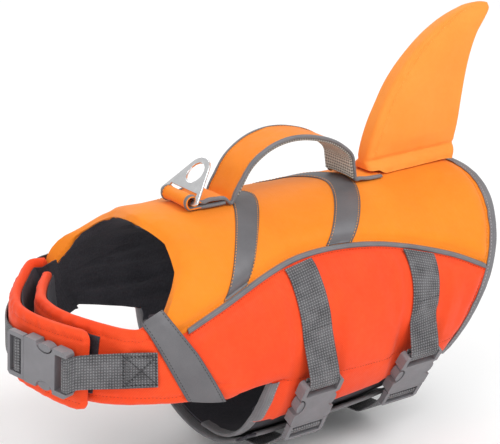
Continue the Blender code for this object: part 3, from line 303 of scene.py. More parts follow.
@dataclass
class Form:
    """The inner face of the lining, the edges on it and the padding over it."""

    foot: float = 2.1
    back_full: float = 9.4
    side_full: float = 7.4
    edge: float = 3.4
    lower: float = 127.0
    seam_gap: float = 0.7
    rounding: float = 15.0
    seam_inset: float = 4.5
    rear_inset: float = 9.5
    strap_dent: float = 2.2
    flare_height: float = 3.9
    flare_reach: float = 9.0
    sections: Sequence[Row] = (
        (-155, 58, 10, -60, -112), (-125, 71, 8, -64, -140), (-105, 77, 6, -67, -155),
        (-42, 83, 3, -74, -159), (0, 83, 0, -74, -160), (50, 81, -2, -73, -160),
        (100, 78, -4, -71, -157), (150, 76, -4, -68, -149), (200, 75.5, -3, -65, -141))
    neck_edge: Sequence[Row] = ((0, -103), (16, -96), (30, -95), (42, -100), (50, -108), (58, -125))
    rear_edge: Sequence[Row] = (
        (0, 191), (25, 190), (42, 186), (51, 182), (60, 177), (70, 171), (83, 162), (98, 151),
        (113, 140), (127, 128), (138, 112), (150, 97), (180, 90))
    leg_edge: Sequence[Row] = (
        (-112, 106, 101), (-103, 107, 96), (-94, 108, 94.5), (-80, 108.5, 96.5), (-63, 104.5, 98.5),
        (-42, 102, 102))
    belly_edge: Sequence[Row] = (
        (100, -42, -42), (113, -46, -42), (127, -47.5, -41.5), (150, -44, -41.5), (180, -38, -41.5))
    arch_seam: Sequence[Row] = (
        (-130, -54), (-112, -44), (-72, -31), (-34, -21), (-2, -17), (37, -18), (76, -24),
        (125, -39), (160, -56), (185, -70))
    layout: Layout = Layout((0, 3.5, 8, 15), 2, 8.5, (-26, -8, 10, 18, 34, 52),
                            (67, 78, 96, 114, 121), (22, 14, 8.5, 0))
    creases: dict[Side, tuple[Crease, ...]] = field(default_factory=dict)

    def __post_init__(self) -> None:
        """Fill the tables that the places are read from."""
        self.fine = [[curve(self.sections, k, x) for k in (1, 2, 3, 4)] for x in range(-155, 201)]
        self.arch = Table(lambda x: self.angle_at(x, curve(self.arch_seam, 1, x), 6.0),
                          -132, 196, 4)
        self.front_table = Table(self.find_front, 0, 112, 1)
        self.rear_table = Table(lambda a: curve(self.rear_edge, 1, a) - 1.5, 0, 180, 2)
        self.leg_table = {side: Table(lambda x, k=k: curve(self.leg_edge, k, x), -124, -30, 2)
                          for side, k in ((Side.NEAR, 1), (Side.FAR, 2))}
        self.belly_table = {side: Table(lambda a, k=k: curve(self.belly_edge, k, a), 100, 180, 2)
                            for side, k in ((Side.NEAR, 1), (Side.FAR, 2))}

    def on(self, x: float, angle: float) -> Vector:
        """Point on the form itself.

        Args:
            x: place along X.
            angle: girth angle.

        Returns:
            The point.
        """
        at = clamp(x, -155, 200) + 155
        i = min(int(at), len(self.fine) - 2)
        pairs = zip(self.fine[i], self.fine[i + 1])
        half, top, middle, bottom = (mix(a, b, at - i) for a, b in pairs)
        a = math.radians(angle)
        s, c = math.sin(a), math.cos(a)
        radius = 1.0 / math.hypot(s / half, c / (top - middle if c >= 0 else middle - bottom))
        return Vector((x, radius * s, middle + radius * c))

    def normal(self, x: float, angle: float) -> Vector:
        """Direction out of the form."""
        along = self.on(x + 1.0, angle) - self.on(x - 1.0, angle)
        return along.cross(self.on(x, angle + 0.7) - self.on(x, angle - 0.7)).normalized()

    def point(self, x: float, angle: float, out: float = 0.0) -> Vector:
        """Point that stands out from the form."""
        return self.on(x, angle) + self.normal(x, angle) * out

    def angle_at(self, x: float, z: float, out: float = 8.0) -> float:
        """Girth angle, taken positive, at which a surface is at a height.

        Args:
            x: place along X.
            z: the height.
            out: how far the surface stands out.

        Returns:
            The angle in degrees.
        """
        low, high = 5.0, 175.0
        for _ in range(HALVINGS):
            mid = (low + high) / 2
            low, high = (mid, high) if self.point(x, mid, out).z > z else (low, mid)
        return low

    def find_front(self, angle: float) -> float:
        """x of the front edge: the neck edge, then the seam to the wing.

        Args:
            angle: girth angle, taken positive.

        Returns:
            The x.
        """
        if angle <= self.neck_edge[-1][0]:
            return curve(self.neck_edge, 1, angle)
        x = -120.0
        for _ in range(ROUNDS):
            x = DIAGONAL.seam_x(self.point(x, angle, 5.0).z)
        return x

    def leg(self, x: float, side: Side) -> float:
        """Girth angle of the edge above a leg."""
        return self.leg_table[side](min(x, -42))

    def belly(self, angle: float, side: Side) -> float:
        """x of the belly part's front edge."""
        return self.belly_table[side](min(abs(angle), 180))

    def front(self, angle: float) -> float:
        """x of the front edge at a girth angle."""
        return self.front_table(abs(angle))

    def rear(self, angle: float) -> float:
        """x of the rear edge at a girth angle."""
        angle = abs(angle)
        return self.rear_table(min(angle, 360 - angle))

    def flare(self, past: float, angle: float) -> float:
        """How far the lining turns up towards the neck edge, this far behind it."""
        beside = 1 - smooth((abs(angle) - 50.0) / 8.0)
        return self.flare_height * (1 - smooth(past / self.flare_reach)) * beside

    def profile(self, distance: float, full: float) -> float:
        """Thickness of a padded panel this far from its sewn edge."""
        t = clamp(distance / self.rounding)
        return self.edge + (full - self.edge) * math.sqrt(1 - (1 - t) ** 2.2)

    def back_pad(self, x: float, angle: float) -> float:
        """Thickness of the back panel.

        Args:
            x: place along X.
            angle: girth angle.

        Returns:
            The thickness in millimetres.
        """
        inside = min((self.arch(x) - abs(angle)) * ARC - self.seam_inset, x - self.front(angle),
                     self.rear(angle) - x - self.rear_inset)
        return self.profile(max(0.0, inside), self.back_full)

    def side_pad(self, x: float, angle: float) -> float:
        """Thickness of a side panel, with its dents under the straps.

        Args:
            x: place along X.
            angle: girth angle.

        Returns:
            The thickness in millimetres.
        """
        side = Side.NEAR if angle < 0 else Side.FAR
        angle = abs(angle)
        corner = self.belly(angle, side)
        above = (self.leg(x, side) - angle) * ARC
        leg = above
        if x >= corner:
            leg = math.hypot(max(0.0, x - corner - self.rear_inset), max(0.0, above))
        inside = min((angle - self.arch(x)) * ARC - self.seam_inset, x - self.front(angle),
                     self.rear(angle) - x - self.rear_inset, (self.lower - angle) * ARC, leg)
        full = self.side_full
        for strap in STRAPS:
            full -= self.strap_dent * (1 - smooth((abs(x - strap.at(angle)) - 18.0) / 8.0))
        return self.profile(max(0.0, inside), full - self.relief(side, x, angle))

    def relief(self, side: Side, x: float, angle: float) -> float:
        """Depth of the soft creases at a place of one sheet."""
        return sum(crease.at(x, angle) for crease in self.creases.get(side, ()))

    def top(self, x: float, angle: float) -> float:
        """How far the outer face of the body panels stands out."""
        pad = self.back_pad if abs(angle) < self.arch(x) else self.side_pad
        return self.foot + pad(x, angle)

    def column(self, i: int, angle: float, side: Side, start: float, layout: Layout) -> float:
        """x of a sheet's column.

        Args:
            i: the column.
            angle: girth angle, taken positive.
            side: the flank that the belly part's edge is read from.
            start: x of the front edge there.
            layout: the sheet's columns.

        Returns:
            The x.
        """
        step = self.belly(angle, side)
        if i <= layout.corner:
            return start + stations(step - start, layout.head, layout.middle, (0,))[i]
        rear = self.rear(angle)
        slant = STRAPS[1].at(angle) - STRAPS[1].top_x
        places = [step + layout.first] + list(layout.fixed) + [x + slant for x in layout.slanting]
        k = i - layout.corner - 1
        if k < len(places):
            return min(places[k], rear - layout.tail[0] - 3.0 * (len(places) - k))
        return rear - layout.tail[k - len(places)]

    def back_place(self, i: int, j: int, layout: Layout) -> Place:
        """x and girth angle of a crossing of the back's columns and rows.

        Args:
            i: the column.
            j: the row.
            layout: the sheet's columns.

        Returns:
            The x and the angle.
        """
        x = angle = 0.0
        for _ in range(ROUNDS):
            reach = self.arch(x) * ARC - self.seam_gap / 2
            angle = (stations(2 * reach, SEAM_STEPS, 6, SEAM_STEPS)[j] - reach) / ARC
            x = self.column(i, angle, Side.NEAR, self.front(angle), layout)
        return x, angle

    def side_angles(self, x: float, side: Side) -> list[float]:
        """Girth angles of a side sheet's rows where it has this x.

        Args:
            x: place along X.
            side: the flank.

        Returns:
            The angles, taken positive, from the arch seam down.
        """
        arch = self.arch(x) + self.seam_gap / 2 / ARC
        edge = self.leg(x, side)
        angles = [arch + d / ARC for d in stations((edge - arch) * ARC, SEAM_STEPS, 3, (0, 5, 12))]
        return angles + [mix(edge, self.lower, f) for f in (0.28, 0.56, 0.8, 1.0)]

    def side_place(self, i: int, j: int, side: Side, layout: Layout) -> Place:
        """x and girth angle of a crossing of a side sheet's columns and rows.

        Args:
            i: the column.
            j: the row.
            side: the flank.
            layout: the sheet's columns.

        Returns:
            The x and the angle, taken positive.
        """
        x, angle = -60.0, 0.0
        for _ in range(ROUNDS):
            angle = self.side_angles(x, side)[j]
            x = self.column(i, angle, side, self.front(min(angle, self.leg(x, side))), layout)
        return x, angle


@dataclass(frozen=True)
class DiagonalLines:
    """The seam between body and wing and the rear line of the tape over it, seen from the side."""

    top: float = -27.0
    seam_top: float = -131.0
    seam_slope: float = 36.0 / -67.0
    rear_top: float = -123.0
    rear_start: float = -25.0
    rear_slope: float = 42.0 / -72.0

    def seam_x(self, z: float) -> float:
        """x of the seam at a height."""
        return self.seam_top + (z - self.top) * self.seam_slope

    def rear_x(self, z: float) -> float:
        """x of the tape's rear line at a height."""
        return self.rear_top + (z - self.rear_start) * self.rear_slope

    def end(self, side: Side) -> float:
        """Height of the tape's lower end."""
        return -94.0 if side == Side.NEAR else -81.0


DIAGONAL = DiagonalLines()


# ---------------------------------------------------------------- finishes
class Slot(Enum):
    """The record's material slots."""

    YELLOW = "yellow_orange_cloth"
    FIN = "fin_cloth"
    RED = "red_orange_cloth"
    LINING = "black_lining"
    BINDING = "grey_binding"
    TAPE = "reflective_tape"
    WEBBING = "grey_webbing"
    MESH = "air_mesh"
    PLASTIC = "grey_plastic"
    STEEL = "bright_steel"


class Held(Enum):
    """How a sheet's cut is held in the jacket."""

    LAID = "laid"
    FOLDED = "folded"


class Num:
    """A number of a shader that takes part in sums."""

    def __init__(self, shade: "Shade", socket: bpy.types.NodeSocket) -> None:
        """Keep the socket and the shader that it belongs to."""
        self.shade = shade
        self.socket = socket

    def __add__(self, other: "Num | float") -> "Num":
        """Sum."""
        return self.shade.math("ADD", self, other)

    __radd__ = __add__

    def __sub__(self, other: "Num | float") -> "Num":
        """Difference."""
        return self.shade.math("SUBTRACT", self, other)

    def __rsub__(self, other: "Num | float") -> "Num":
        """Difference from a number."""
        return self.shade.math("SUBTRACT", other, self)

    def __mul__(self, other: "Num | float") -> "Num":
        """Product."""
        return self.shade.math("MULTIPLY", self, other)

    __rmul__ = __mul__

    def __abs__(self) -> "Num":
        """Size without its sign."""
        return self.shade.math("ABSOLUTE", self)

    def wave(self, period: float) -> "Num":
        """Sine of this length over a period."""
        return self.shade.math("SINE", self * (2 * math.pi / period))

    def ramp(self, low: float, high: float, start: float = 0.0, end: float = 1.0) -> "Num":
        """This value carried from one range to another and held at its ends.

        Args:
            low: start of this value's range.
            high: end of it.
            start: result at its start.
            end: result at its end.

        Returns:
            The result.
        """
        node = self.shade.node("ShaderNodeMapRange", {"clamp": True},
                               {0: self, 1: low, 2: high, 3: start, 4: end})
        return Num(self.shade, node.outputs[0])


class Shade:
    """The nodes of one material."""

    def __init__(self, name: str) -> None:
        """Start a material of this name.

        Args:
            name: the material's name.
        """
        self.material = bpy.data.materials.new(name)
        self.material.use_nodes = True
        self.tree = self.material.node_tree
        self.surface = next(n for n in self.tree.nodes if n.type == "BSDF_PRINCIPLED")

    def node(self, kind: str, settings: dict[str, object],
             inputs: dict[object, object]) -> bpy.types.Node:
        """Add a node.

        Args:
            kind: the node's type.
            settings: its settings, which are set first.
            inputs: values or links of its sockets, by name or number.

        Returns:
            The node.
        """
        node = self.tree.nodes.new(kind)
        for key, value in settings.items():
            setattr(node, key, value)
        for key, value in inputs.items():
            if isinstance(value, Num):
                value = value.socket
            if isinstance(value, bpy.types.NodeSocket):
                self.tree.links.new(value, node.inputs[key])
            else:
                node.inputs[key].default_value = value
        return node

    def math(self, operation: str, *values: "Num | float") -> Num:
        """A Math node's result."""
        node = self.node("ShaderNodeMath", {"operation": operation}, dict(enumerate(values)))
        return Num(self, node.outputs[0])

    def cut(self) -> tuple[Num, Num]:
        """Place on the cut of the cloth, in millimetres along and across.

        Returns:
            The two places.
        """
        uv = self.node("ShaderNodeTexCoord", {}, {})
        parts = self.node("ShaderNodeSeparateXYZ", {}, {0: uv.outputs["UV"]})
        return Num(self, parts.outputs[0]) * 100.0, Num(self, parts.outputs[1]) * 100.0

    def noise(self, size: float, detail: float = 2.0) -> Num:
        """Soft noise from 0 to 1 with spots of a size in millimetres, on the object's own place.

        Args:
            size: size of a spot.
            detail: how many finer layers it has.

        Returns:
            The noise.
        """
        at = self.node("ShaderNodeTexCoord", {}, {})
        node = self.node("ShaderNodeTexNoise", {},
                         {"Vector": at.outputs["Object"], "Scale": 1000.0 / size, "Detail": detail})
        return Num(self, node.outputs[0])

    def blend(self, share: Num, low: Color, high: Color) -> bpy.types.NodeSocket:
        """Colour between two, by a share.

        Args:
            share: share of the second colour.
            low: first colour.
            high: second colour.

        Returns:
            The colour.
        """
        node = self.node("ShaderNodeMix", {"data_type": "RGBA"}, {0: share})
        node.inputs[6].default_value = (*low, 1)
        node.inputs[7].default_value = (*high, 1)
        return node.outputs[2]

    def finish(self, base: bpy.types.NodeSocket, roughness: "Num | float", height: Num,
               depth: float, **constants: float) -> bpy.types.Material:
        """Join everything to the surface.

        Args:
            base: colour.
            roughness: roughness, as a value or a number.
            height: relief from 0 to 1.
            depth: how deep the relief is, in millimetres.
            constants: sockets of the surface that keep one value, with _ for a blank.

        Returns:
            The material.
        """
        bump = self.node("ShaderNodeBump", {}, {"Height": height, "Distance": depth * MM,
                                                "Strength": 1.0})
        inputs = self.surface.inputs
        self.tree.links.new(base, inputs["Base Color"])
        self.tree.links.new(bump.outputs[0], inputs["Normal"])
        if isinstance(roughness, Num):
            self.tree.links.new(roughness.socket, inputs["Roughness"])
        else:
            inputs["Roughness"].default_value = roughness
        for key, value in constants.items():
            inputs[key.replace("_", " ")].default_value = value
        return self.material


@dataclass(frozen=True)
class PanelCloth:
    """Plain woven polyester, a little uneven in colour, with painted shade in its weave's hollows
    that leaves the thread crowns lighter.
    """

    name: str
    light: Color
    deep: Color
    pitch: float = 0.75
    depth: float = 0.09

    def make(self) -> bpy.types.Material:
        """The cloth's material.

        Returns:
            The material.
        """
        shade = Shade(self.name)
        u, v = shade.cut()
        weave = u.wave(2 * self.pitch) * v.wave(2 * self.pitch) * 0.5 + 0.5
        mottle = shade.noise(34, 3) * 0.62 + shade.noise(2.6, 2) * 0.24
        # Colour mixes random mottle with painted shade: darker in the weave's hollows, lighter on
        # its crowns.
        share = (mottle + weave * 0.4 - 0.18).ramp(0.22, 0.82)
        relief = weave * 0.5 + shade.noise(9, 3) * 2.2 + shade.noise(1.3, 1) * 0.5
        return shade.finish(shade.blend(share, self.deep, self.light),
                            shade.noise(6).ramp(0.2, 0.8, 0.6, 0.78), relief, self.depth,
                            Sheen_Weight=0.1, Sheen_Roughness=0.45, Specular_IOR_Level=0.3)


@dataclass(frozen=True)
class LiningKnit:
    """Soft black knit with a short nap and fine ribs."""

    name: str

    def make(self) -> bpy.types.Material:
        """The lining's material.

        Returns:
            The material.
        """
        shade = Shade(self.name)
        u, v = shade.cut()
        rib = u.wave(1.5) * 0.3 + v.wave(1.1) * 0.2 + 0.5
        nap = shade.noise(1.6, 3)
        # Colour is lighter where the ribs and nap stand high: painted shade in their hollows, over
        # random tone.
        share = (nap * 0.7 + shade.noise(26, 2) * 0.5 + rib * 0.2 - 0.2).ramp(0.15, 0.85)
        return shade.finish(shade.blend(share, (0.023, 0.0225, 0.028), (0.066, 0.063, 0.076)), 0.85,
                            rib * 0.5 + nap * 1.2 + shade.noise(8, 2) * 2.0, 0.12,
                            Sheen_Weight=0.06, Sheen_Roughness=0.4, Specular_IOR_Level=0.3)


@dataclass(frozen=True)
class RibbedBand:
    """Band woven in fine ribs: binding, webbing or seam tape."""

    name: str
    light: Color
    deep: Color
    rib: float
    wale: float
    depth: float
    roughness: float = 0.7

    def make(self) -> bpy.types.Material:
        """The band's material.

        Returns:
            The material.
        """
        shade = Shade(self.name)
        u, v = shade.cut()
        ribs = u.wave(self.rib) * 0.5 + 0.5
        wales = (v + u.wave(self.rib * 2) * (self.wale * 0.09)).wave(self.wale) * 0.5 + 0.5
        # Colour is lighter on the crowns of ribs and wales: painted shade in their hollows, over
        # random tone.
        share = (ribs * wales * 0.5 + shade.noise(11, 3) * 0.6).ramp(0.2, 0.8)
        rough = shade.noise(4).ramp(0.2, 0.8, self.roughness - 0.08, self.roughness + 0.08)
        return shade.finish(shade.blend(share, self.deep, self.light), rough,
                            ribs * 0.7 + wales * 0.6 + shade.noise(7, 2) * 1.2, self.depth,
                            Sheen_Weight=0.15, Specular_IOR_Level=0.4)


@dataclass(frozen=True)
class BeadTape:
    """Grey tape faced with fine glass beads, with darker sewn margins."""

    name: str
    half: float = 11.0

    def make(self) -> bpy.types.Material:
        """The tape's material.

        Returns:
            The material.
        """
        shade = Shade(self.name)
        _, v = shade.cut()
        edge = abs(v).ramp(self.half - 1.2, self.half - 0.4)
        beads = shade.noise(0.55, 1)
        share = (shade.noise(22, 3) * 0.7 + beads * 0.35 - edge * 0.45).ramp(0.2, 0.85)
        return shade.finish(shade.blend(share, (0.096, 0.093, 0.101), (0.162, 0.158, 0.167)),
                            (shade.noise(5) * 0.2 + edge * 0.2).ramp(0.0, 0.4, 0.42, 0.62),
                            beads * 0.35 + shade.noise(13, 2) * 3.0, 0.08, Specular_IOR_Level=0.55,
                            Metallic=0.15)


@dataclass(frozen=True)
class AirMesh:
    """Beige grey spacer mesh with open cells."""

    name: str
    cell: float = 4.4

    def make(self) -> bpy.types.Material:
        """The mesh's material.

        Returns:
            The material.
        """
        shade = Shade(self.name)
        u, v = shade.cut()
        diamonds = (u + v).wave(self.cell) * (u - v).wave(self.cell)
        hole = diamonds.ramp(-0.15, 0.55)
        # The open cells take the dark colour: painted shade inside them.
        share = (1 - hole) * 0.8 + shade.noise(3, 2) * 0.3
        return shade.finish(shade.blend(share, (0.11, 0.1, 0.09), (0.64, 0.59, 0.52)), 0.85,
                            1 - hole, 0.5, Specular_IOR_Level=0.25)


@dataclass(frozen=True)
class MouldedPlastic:
    """Matt grey moulded plastic with a fine grain."""

    name: str
    light: Color = (0.212, 0.206, 0.22)
    deep: Color = (0.165, 0.16, 0.172)

    def make(self) -> bpy.types.Material:
        """The plastic's material.

        Returns:
            The material.
        """
        shade = Shade(self.name)
        grain = shade.noise(0.5, 2)
        share = (shade.noise(14, 3) * 0.8 + grain * 0.2).ramp(0.25, 0.8)
        return shade.finish(shade.blend(share, self.deep, self.light),
                            shade.noise(3).ramp(0.2, 0.8, 0.42, 0.56), grain, 0.035,
                            Specular_IOR_Level=0.5)


@dataclass(frozen=True)
class BrightSteel:
    """Polished plated steel with faint handling marks."""

    name: str

    def make(self) -> bpy.types.Material:
        """The steel's material.

        Returns:
            The material.
        """
        shade = Shade(self.name)
        marks = shade.noise(5.0, 3)
        base = shade.blend(marks.ramp(0.3, 0.8), (0.8, 0.8, 0.81), (0.88, 0.88, 0.885))
        return shade.finish(base, marks.ramp(0.35, 0.8, 0.2, 0.28), shade.noise(16, 1), 0.03,
                            Metallic=1.0)


@dataclass(frozen=True)
class Thread:
    """Twisted sewing thread."""

    name: str
    light: Color
    deep: Color

    def make(self) -> bpy.types.Material:
        """The thread's material.

        Returns:
            The material.
        """
        shade = Shade(self.name)
        share = shade.noise(1.4, 2).ramp(0.3, 0.7)
        return shade.finish(shade.blend(share, self.deep, self.light), 0.6, shade.noise(0.4, 1),
                            0.05, Specular_IOR_Level=0.3)


FINISHES = {
    Slot.YELLOW: PanelCloth("yellow_orange_weave", (0.93, 0.275, 0.012), (0.84, 0.215, 0.005)),
    Slot.FIN: PanelCloth("fin_weave", (0.955, 0.335, 0.052), (0.89, 0.26, 0.028)),
    Slot.RED: PanelCloth("red_orange_weave", (0.94, 0.092, 0.014), (0.84, 0.05, 0.006)),
    Slot.LINING: LiningKnit("black_knit"),
    Slot.BINDING: RibbedBand("binding_weave", (0.215, 0.21, 0.22), (0.13, 0.127, 0.135),
                             0.9, 1.6, 0.1, 0.62),
    Slot.TAPE: BeadTape("bead_tape"),
    Slot.WEBBING: RibbedBand("webbing_weave", (0.245, 0.242, 0.253), (0.04, 0.039, 0.043),
                             1.9, 2.1, 0.6),
    Slot.MESH: AirMesh("spacer_mesh"),
    Slot.PLASTIC: MouldedPlastic("moulded_grey"),
    Slot.STEEL: BrightSteel("plated_steel"),
}


class Yarn(Enum):
    """The sewing threads."""

    ORANGE = Thread("orange_thread", (0.98, 0.42, 0.09), (0.85, 0.3, 0.04))
    RED = Thread("red_thread", (0.62, 0.05, 0.012), (0.42, 0.03, 0.008))
    PALE = Thread("pale_grey_thread", (0.52, 0.51, 0.52), (0.34, 0.335, 0.34))
    DARK = Thread("dark_grey_thread", (0.045, 0.044, 0.048), (0.022, 0.021, 0.024))


# ---------------------------------------------------------------- sheets and sewing
@dataclass
class Sheet:
    """A sheet of cloth as a grid: its two faces and where each crossing lies on the cut."""

    outer: Grid
    inner: Grid
    cut: list[list[Place]]
    keep: Optional[Callable[[int, int], bool]] = None
    rim: int = 1
    bulge: float = 0.0

    def kept(self, i: int, j: int) -> bool:
        """Whether a cell is there."""
        inside = 0 <= i < len(self.outer) - 1 and 0 <= j < len(self.outer[0]) - 1
        return inside and (self.keep is None or self.keep(i, j))

    def size(self) -> tuple[float, float, float]:
        """Width, length and area of the cut in metres, measured along the cloth.

        Returns:
            The width, the length and the area.
        """
        across = max(sum((b - a).length for a, b in zip(row, row[1:])) for row in self.outer)
        columns = list(zip(*self.outer))
        along = max(sum((b - a).length for a, b in zip(column, column[1:])) for column in columns)
        area = 0.0
        for i in range(len(self.outer) - 1):
            for j in range(len(self.outer[0]) - 1):
                if self.kept(i, j):
                    a, b = self.outer[i][j], self.outer[i + 1][j + 1]
                    c, d = self.outer[i + 1][j], self.outer[i][j + 1]
                    area += (b - a).cross(d - c).length / 2
        return along * MM, across * MM, min(area * 1e-6, along * across * 1e-6)

    def away(self, i: int, j: int) -> Vector:
        """Direction off the sheet at a place on its edge.

        Args:
            i: row of the place.
            j: column of the place.

        Returns:
            The direction, or no direction where the cells around balance.
        """
        total, count = Vector(), 0
        for a in (i - 1, i):
            for b in (j - 1, j):
                if self.kept(a, b):
                    total += (self.outer[a][b] + self.outer[a + 1][b] + self.outer[a][b + 1]
                              + self.outer[a + 1][b + 1]) / 4
                    count += 1
        way = self.outer[i][j] - total / max(1, count)
        wall = self.outer[i][j] - self.inner[i][j]
        if wall.length > 1e-6:
            wall.normalize()
            way -= wall * way.dot(wall)
        return way.normalized() if way.length > 1e-6 else way

    def mesh(self, name: str, material: bpy.types.Material) -> bpy.types.Mesh:
        """Closed mesh of the sheet.

        Args:
            name: name of the mesh.
            material: its finish.

        Returns:
            The mesh, in metres, with its cut as the UV map in decimetres.
        """
        points: list[Vector] = []
        places: list[Place] = []
        index: dict[tuple[int, int, int], int] = {}
        faces: list[tuple[int, ...]] = []

        def vertex(i: int, j: int, k: int) -> int:
            """Number of the vertex at a crossing, k steps down from the outer face.

            Args:
                i: row of the crossing.
                j: column of the crossing.
                k: step down the edge of the wall.

            Returns:
                The number.
            """
            key = (i, j, k)
            if key not in index:
                t = k / self.rim
                at = self.outer[i][j].lerp(self.inner[i][j], t)
                if 0 < k < self.rim:
                    at = at + self.away(i, j) * self.bulge * math.sin(math.pi * t) ** 0.7
                index[key] = len(points)
                points.append(at * MM)
                places.append((self.cut[i][j][0] / 100, self.cut[i][j][1] / 100))
            return index[key]

        for i in range(len(self.outer) - 1):
            for j in range(len(self.outer[0]) - 1):
                if not self.kept(i, j):
                    continue
                ring = ((i, j), (i + 1, j), (i + 1, j + 1), (i, j + 1))
                faces.append(tuple(vertex(a, b, 0) for a, b in ring))
                faces.append(tuple(vertex(a, b, self.rim) for a, b in reversed(ring)))
                beside = ((i, j - 1), (i + 1, j), (i, j + 1), (i - 1, j))
                for (a, b), (c, d), other in zip(ring, ring[1:] + ring[:1], beside):
                    if not self.kept(*other):
                        for k in range(self.rim):
                            faces.append((vertex(a, b, k), vertex(a, b, k + 1), vertex(c, d, k + 1),
                                          vertex(c, d, k)))
        return plain_mesh(name, points, faces, places, material)


def laid(rows: int, columns: int, spot: Callable[[int, int], tuple[Vector, Vector, Place]],
         rim: int = 1, bulge: float = 0.0) -> Sheet:
    """Sheet from a function of its crossings.

    Args:
        rows: number of its last row.
        columns: number of its last column.
        spot: outer point, inner point and place on the cut at a row and a column.
        rim: faces round the edge of the wall.
        bulge: how far that edge rounds out.

    Returns:
        The sheet.
    """
    grid = [[spot(i, j) for j in range(columns + 1)] for i in range(rows + 1)]
    outer, inner, cut = ([[crossing[k] for crossing in row] for row in grid] for k in range(3))
    return Sheet(outer, inner, cut, None, rim, bulge)


def fold(path: Sequence[Vector], cells: int, half: float,
         place: Callable[[int, Vector], Vector]) -> tuple[list[Vector], list[Vector], list[float]]:
    """Section of a band that is folded round an edge.

    Args:
        path: middle of the cloth, inwards and outwards from the edge.
        cells: cells across the band.
        half: half the cloth's thickness.
        place: the point at a step across and a spot of the section.

    Returns:
        Points of the outer face and of the inner face, and the run across at each.
    """
    top, deep, runs, across = [], [], [], 0.0
    for j in range(cells + 1):
        t = j / cells
        here = spline(path, t)
        way = spline(path, min(1, t + 0.01)) - spline(path, max(0, t - 0.01))
        off = Vector((way.y, -way.x)).normalized() * half
        across += (here - spline(path, (j - 1) / cells)).length if j else 0.0
        top.append(place(j, here - off))
        deep.append(place(j, here + off))
        runs.append(across)
    return top, deep, runs


def plain_mesh(name: str, points: Sequence[Vector], faces: Sequence[Sequence[int]],
               places: Sequence[Place], material: bpy.types.Material,
               crease_angle: float = 55.0) -> bpy.types.Mesh:
    """Mesh from its points, with outward faces.

    Args:
        name: name of the mesh.
        points: vertices in metres.
        faces: vertex numbers of each face.
        places: UV of each vertex.
        material: its finish.
        crease_angle: edges sharper than this stay sharp.

    Returns:
        The mesh.
    """
    mesh = bpy.data.meshes.new(name)
    mesh.from_pydata([tuple(p) for p in points], [], faces)
    layer = mesh.uv_layers.new(name="cut")
    for loop in mesh.loops:
        layer.data[loop.index].uv = places[loop.vertex_index]
    build = bmesh.new()
    build.from_mesh(mesh)
    bmesh.ops.recalc_face_normals(build, faces=build.faces)
    build.to_mesh(mesh)
    build.free()
    mesh.materials.append(material)
    mesh.shade_smooth()
    mesh.set_sharp_from_angle(angle=math.radians(crease_angle))
    return mesh


STITCH = {"Pitch": 0.0026, "Stitch": 0.0019, "Thread": 0.00052}


class Sewing:
    """Runs of stitches, laid by geometry nodes along lines on the cloth."""

    def __init__(self) -> None:
        """Start without any runs."""
        self.runs: dict[Yarn, list[list[Vector]]] = {}

    def run(self, yarn: Yarn, line: Sequence[Vector]) -> None:
        """Add a run of stitches along a line in millimetres."""
        self.runs.setdefault(yarn, []).append(list(line))

    @staticmethod
    def tree(material: bpy.types.Material) -> bpy.types.NodeTree:
        """Nodes that lay stitches of a length, a pitch and a thickness along curves.

        Args:
            material: the stitches' finish.

        Returns:
            The nodes.
        """
        tree = bpy.data.node_groups.new("stitches_" + material.name, "GeometryNodeTree")
        face = tree.interface
        face.new_socket("Lines", in_out="INPUT", socket_type="NodeSocketGeometry")
        for label in STITCH:
            face.new_socket(label, in_out="INPUT", socket_type="NodeSocketFloat")
        face.new_socket("Stitches", in_out="OUTPUT", socket_type="NodeSocketGeometry")

        def add(kind: str, settings: dict[str, object],
                links: dict[object, object]) -> bpy.types.Node:
            """Add a node with its settings and the values or links of its sockets.

            Args:
                kind: the node's type.
                settings: its settings.
                links: values or links of its sockets, by name or number.

            Returns:
                The node.
            """
            node = tree.nodes.new(kind)
            for key, value in settings.items():
                setattr(node, key, value)
            for key, value in links.items():
                if isinstance(value, bpy.types.NodeSocket):
                    tree.links.new(value, node.inputs[key])
                else:
                    node.inputs[key].default_value = value
            return node

        start = add("NodeGroupInput", {}, {})
        points = add("GeometryNodeCurveToPoints", {"mode": "LENGTH"},
                     {"Curve": start.outputs["Lines"], "Length": start.outputs["Pitch"]})
        size = add("ShaderNodeCombineXYZ", {},
                   {0: start.outputs["Thread"], 1: start.outputs["Thread"],
                    2: start.outputs["Stitch"]})
        bead = add("GeometryNodeMeshIcoSphere", {}, {"Radius": 0.5, "Subdivisions": 1})
        beads = add("GeometryNodeInstanceOnPoints", {},
                    {"Points": points.outputs["Points"], "Instance": bead.outputs["Mesh"],
                     "Rotation": points.outputs["Rotation"], "Scale": size.outputs[0]})
        real = add("GeometryNodeRealizeInstances", {}, {0: beads.outputs[0]})
        done = add("GeometryNodeSetMaterial", {},
                   {"Geometry": real.outputs[0], "Material": material})
        add("NodeGroupOutput", {}, {0: done.outputs[0]})
        return tree

    def build(self, yarn: Yarn) -> bpy.types.Mesh:
        """All stitches of one thread as a plain mesh.

        Args:
            yarn: the thread.

        Returns:
            The mesh.
        """
        name = yarn.value.name
        lines = bpy.data.curves.new(name, "CURVE")
        lines.dimensions = "3D"
        for line in self.runs[yarn]:
            seam = lines.splines.new("POLY")
            seam.points.add(len(line) - 1)
            for at, point in zip(seam.points, line):
                at.co = (*(point * MM), 1)
        holder = bpy.data.objects.new(name, lines)
        bpy.context.scene.collection.objects.link(holder)
        step = holder.modifiers.new("stitches", "NODES")
        step.node_group = self.tree(yarn.value.make())
        for item in step.node_group.interface.items_tree:
            if item.name in STITCH:
                step[item.identifier] = STITCH[item.name]
        bpy.context.view_layer.update()
        depsgraph = bpy.context.evaluated_depsgraph_get()
        mesh = bpy.data.meshes.new_from_object(holder.evaluated_get(depsgraph))
        holder.modifiers.remove(step)
        bpy.data.objects.remove(holder, do_unlink=True)
        mesh.shade_smooth()
        return mesh


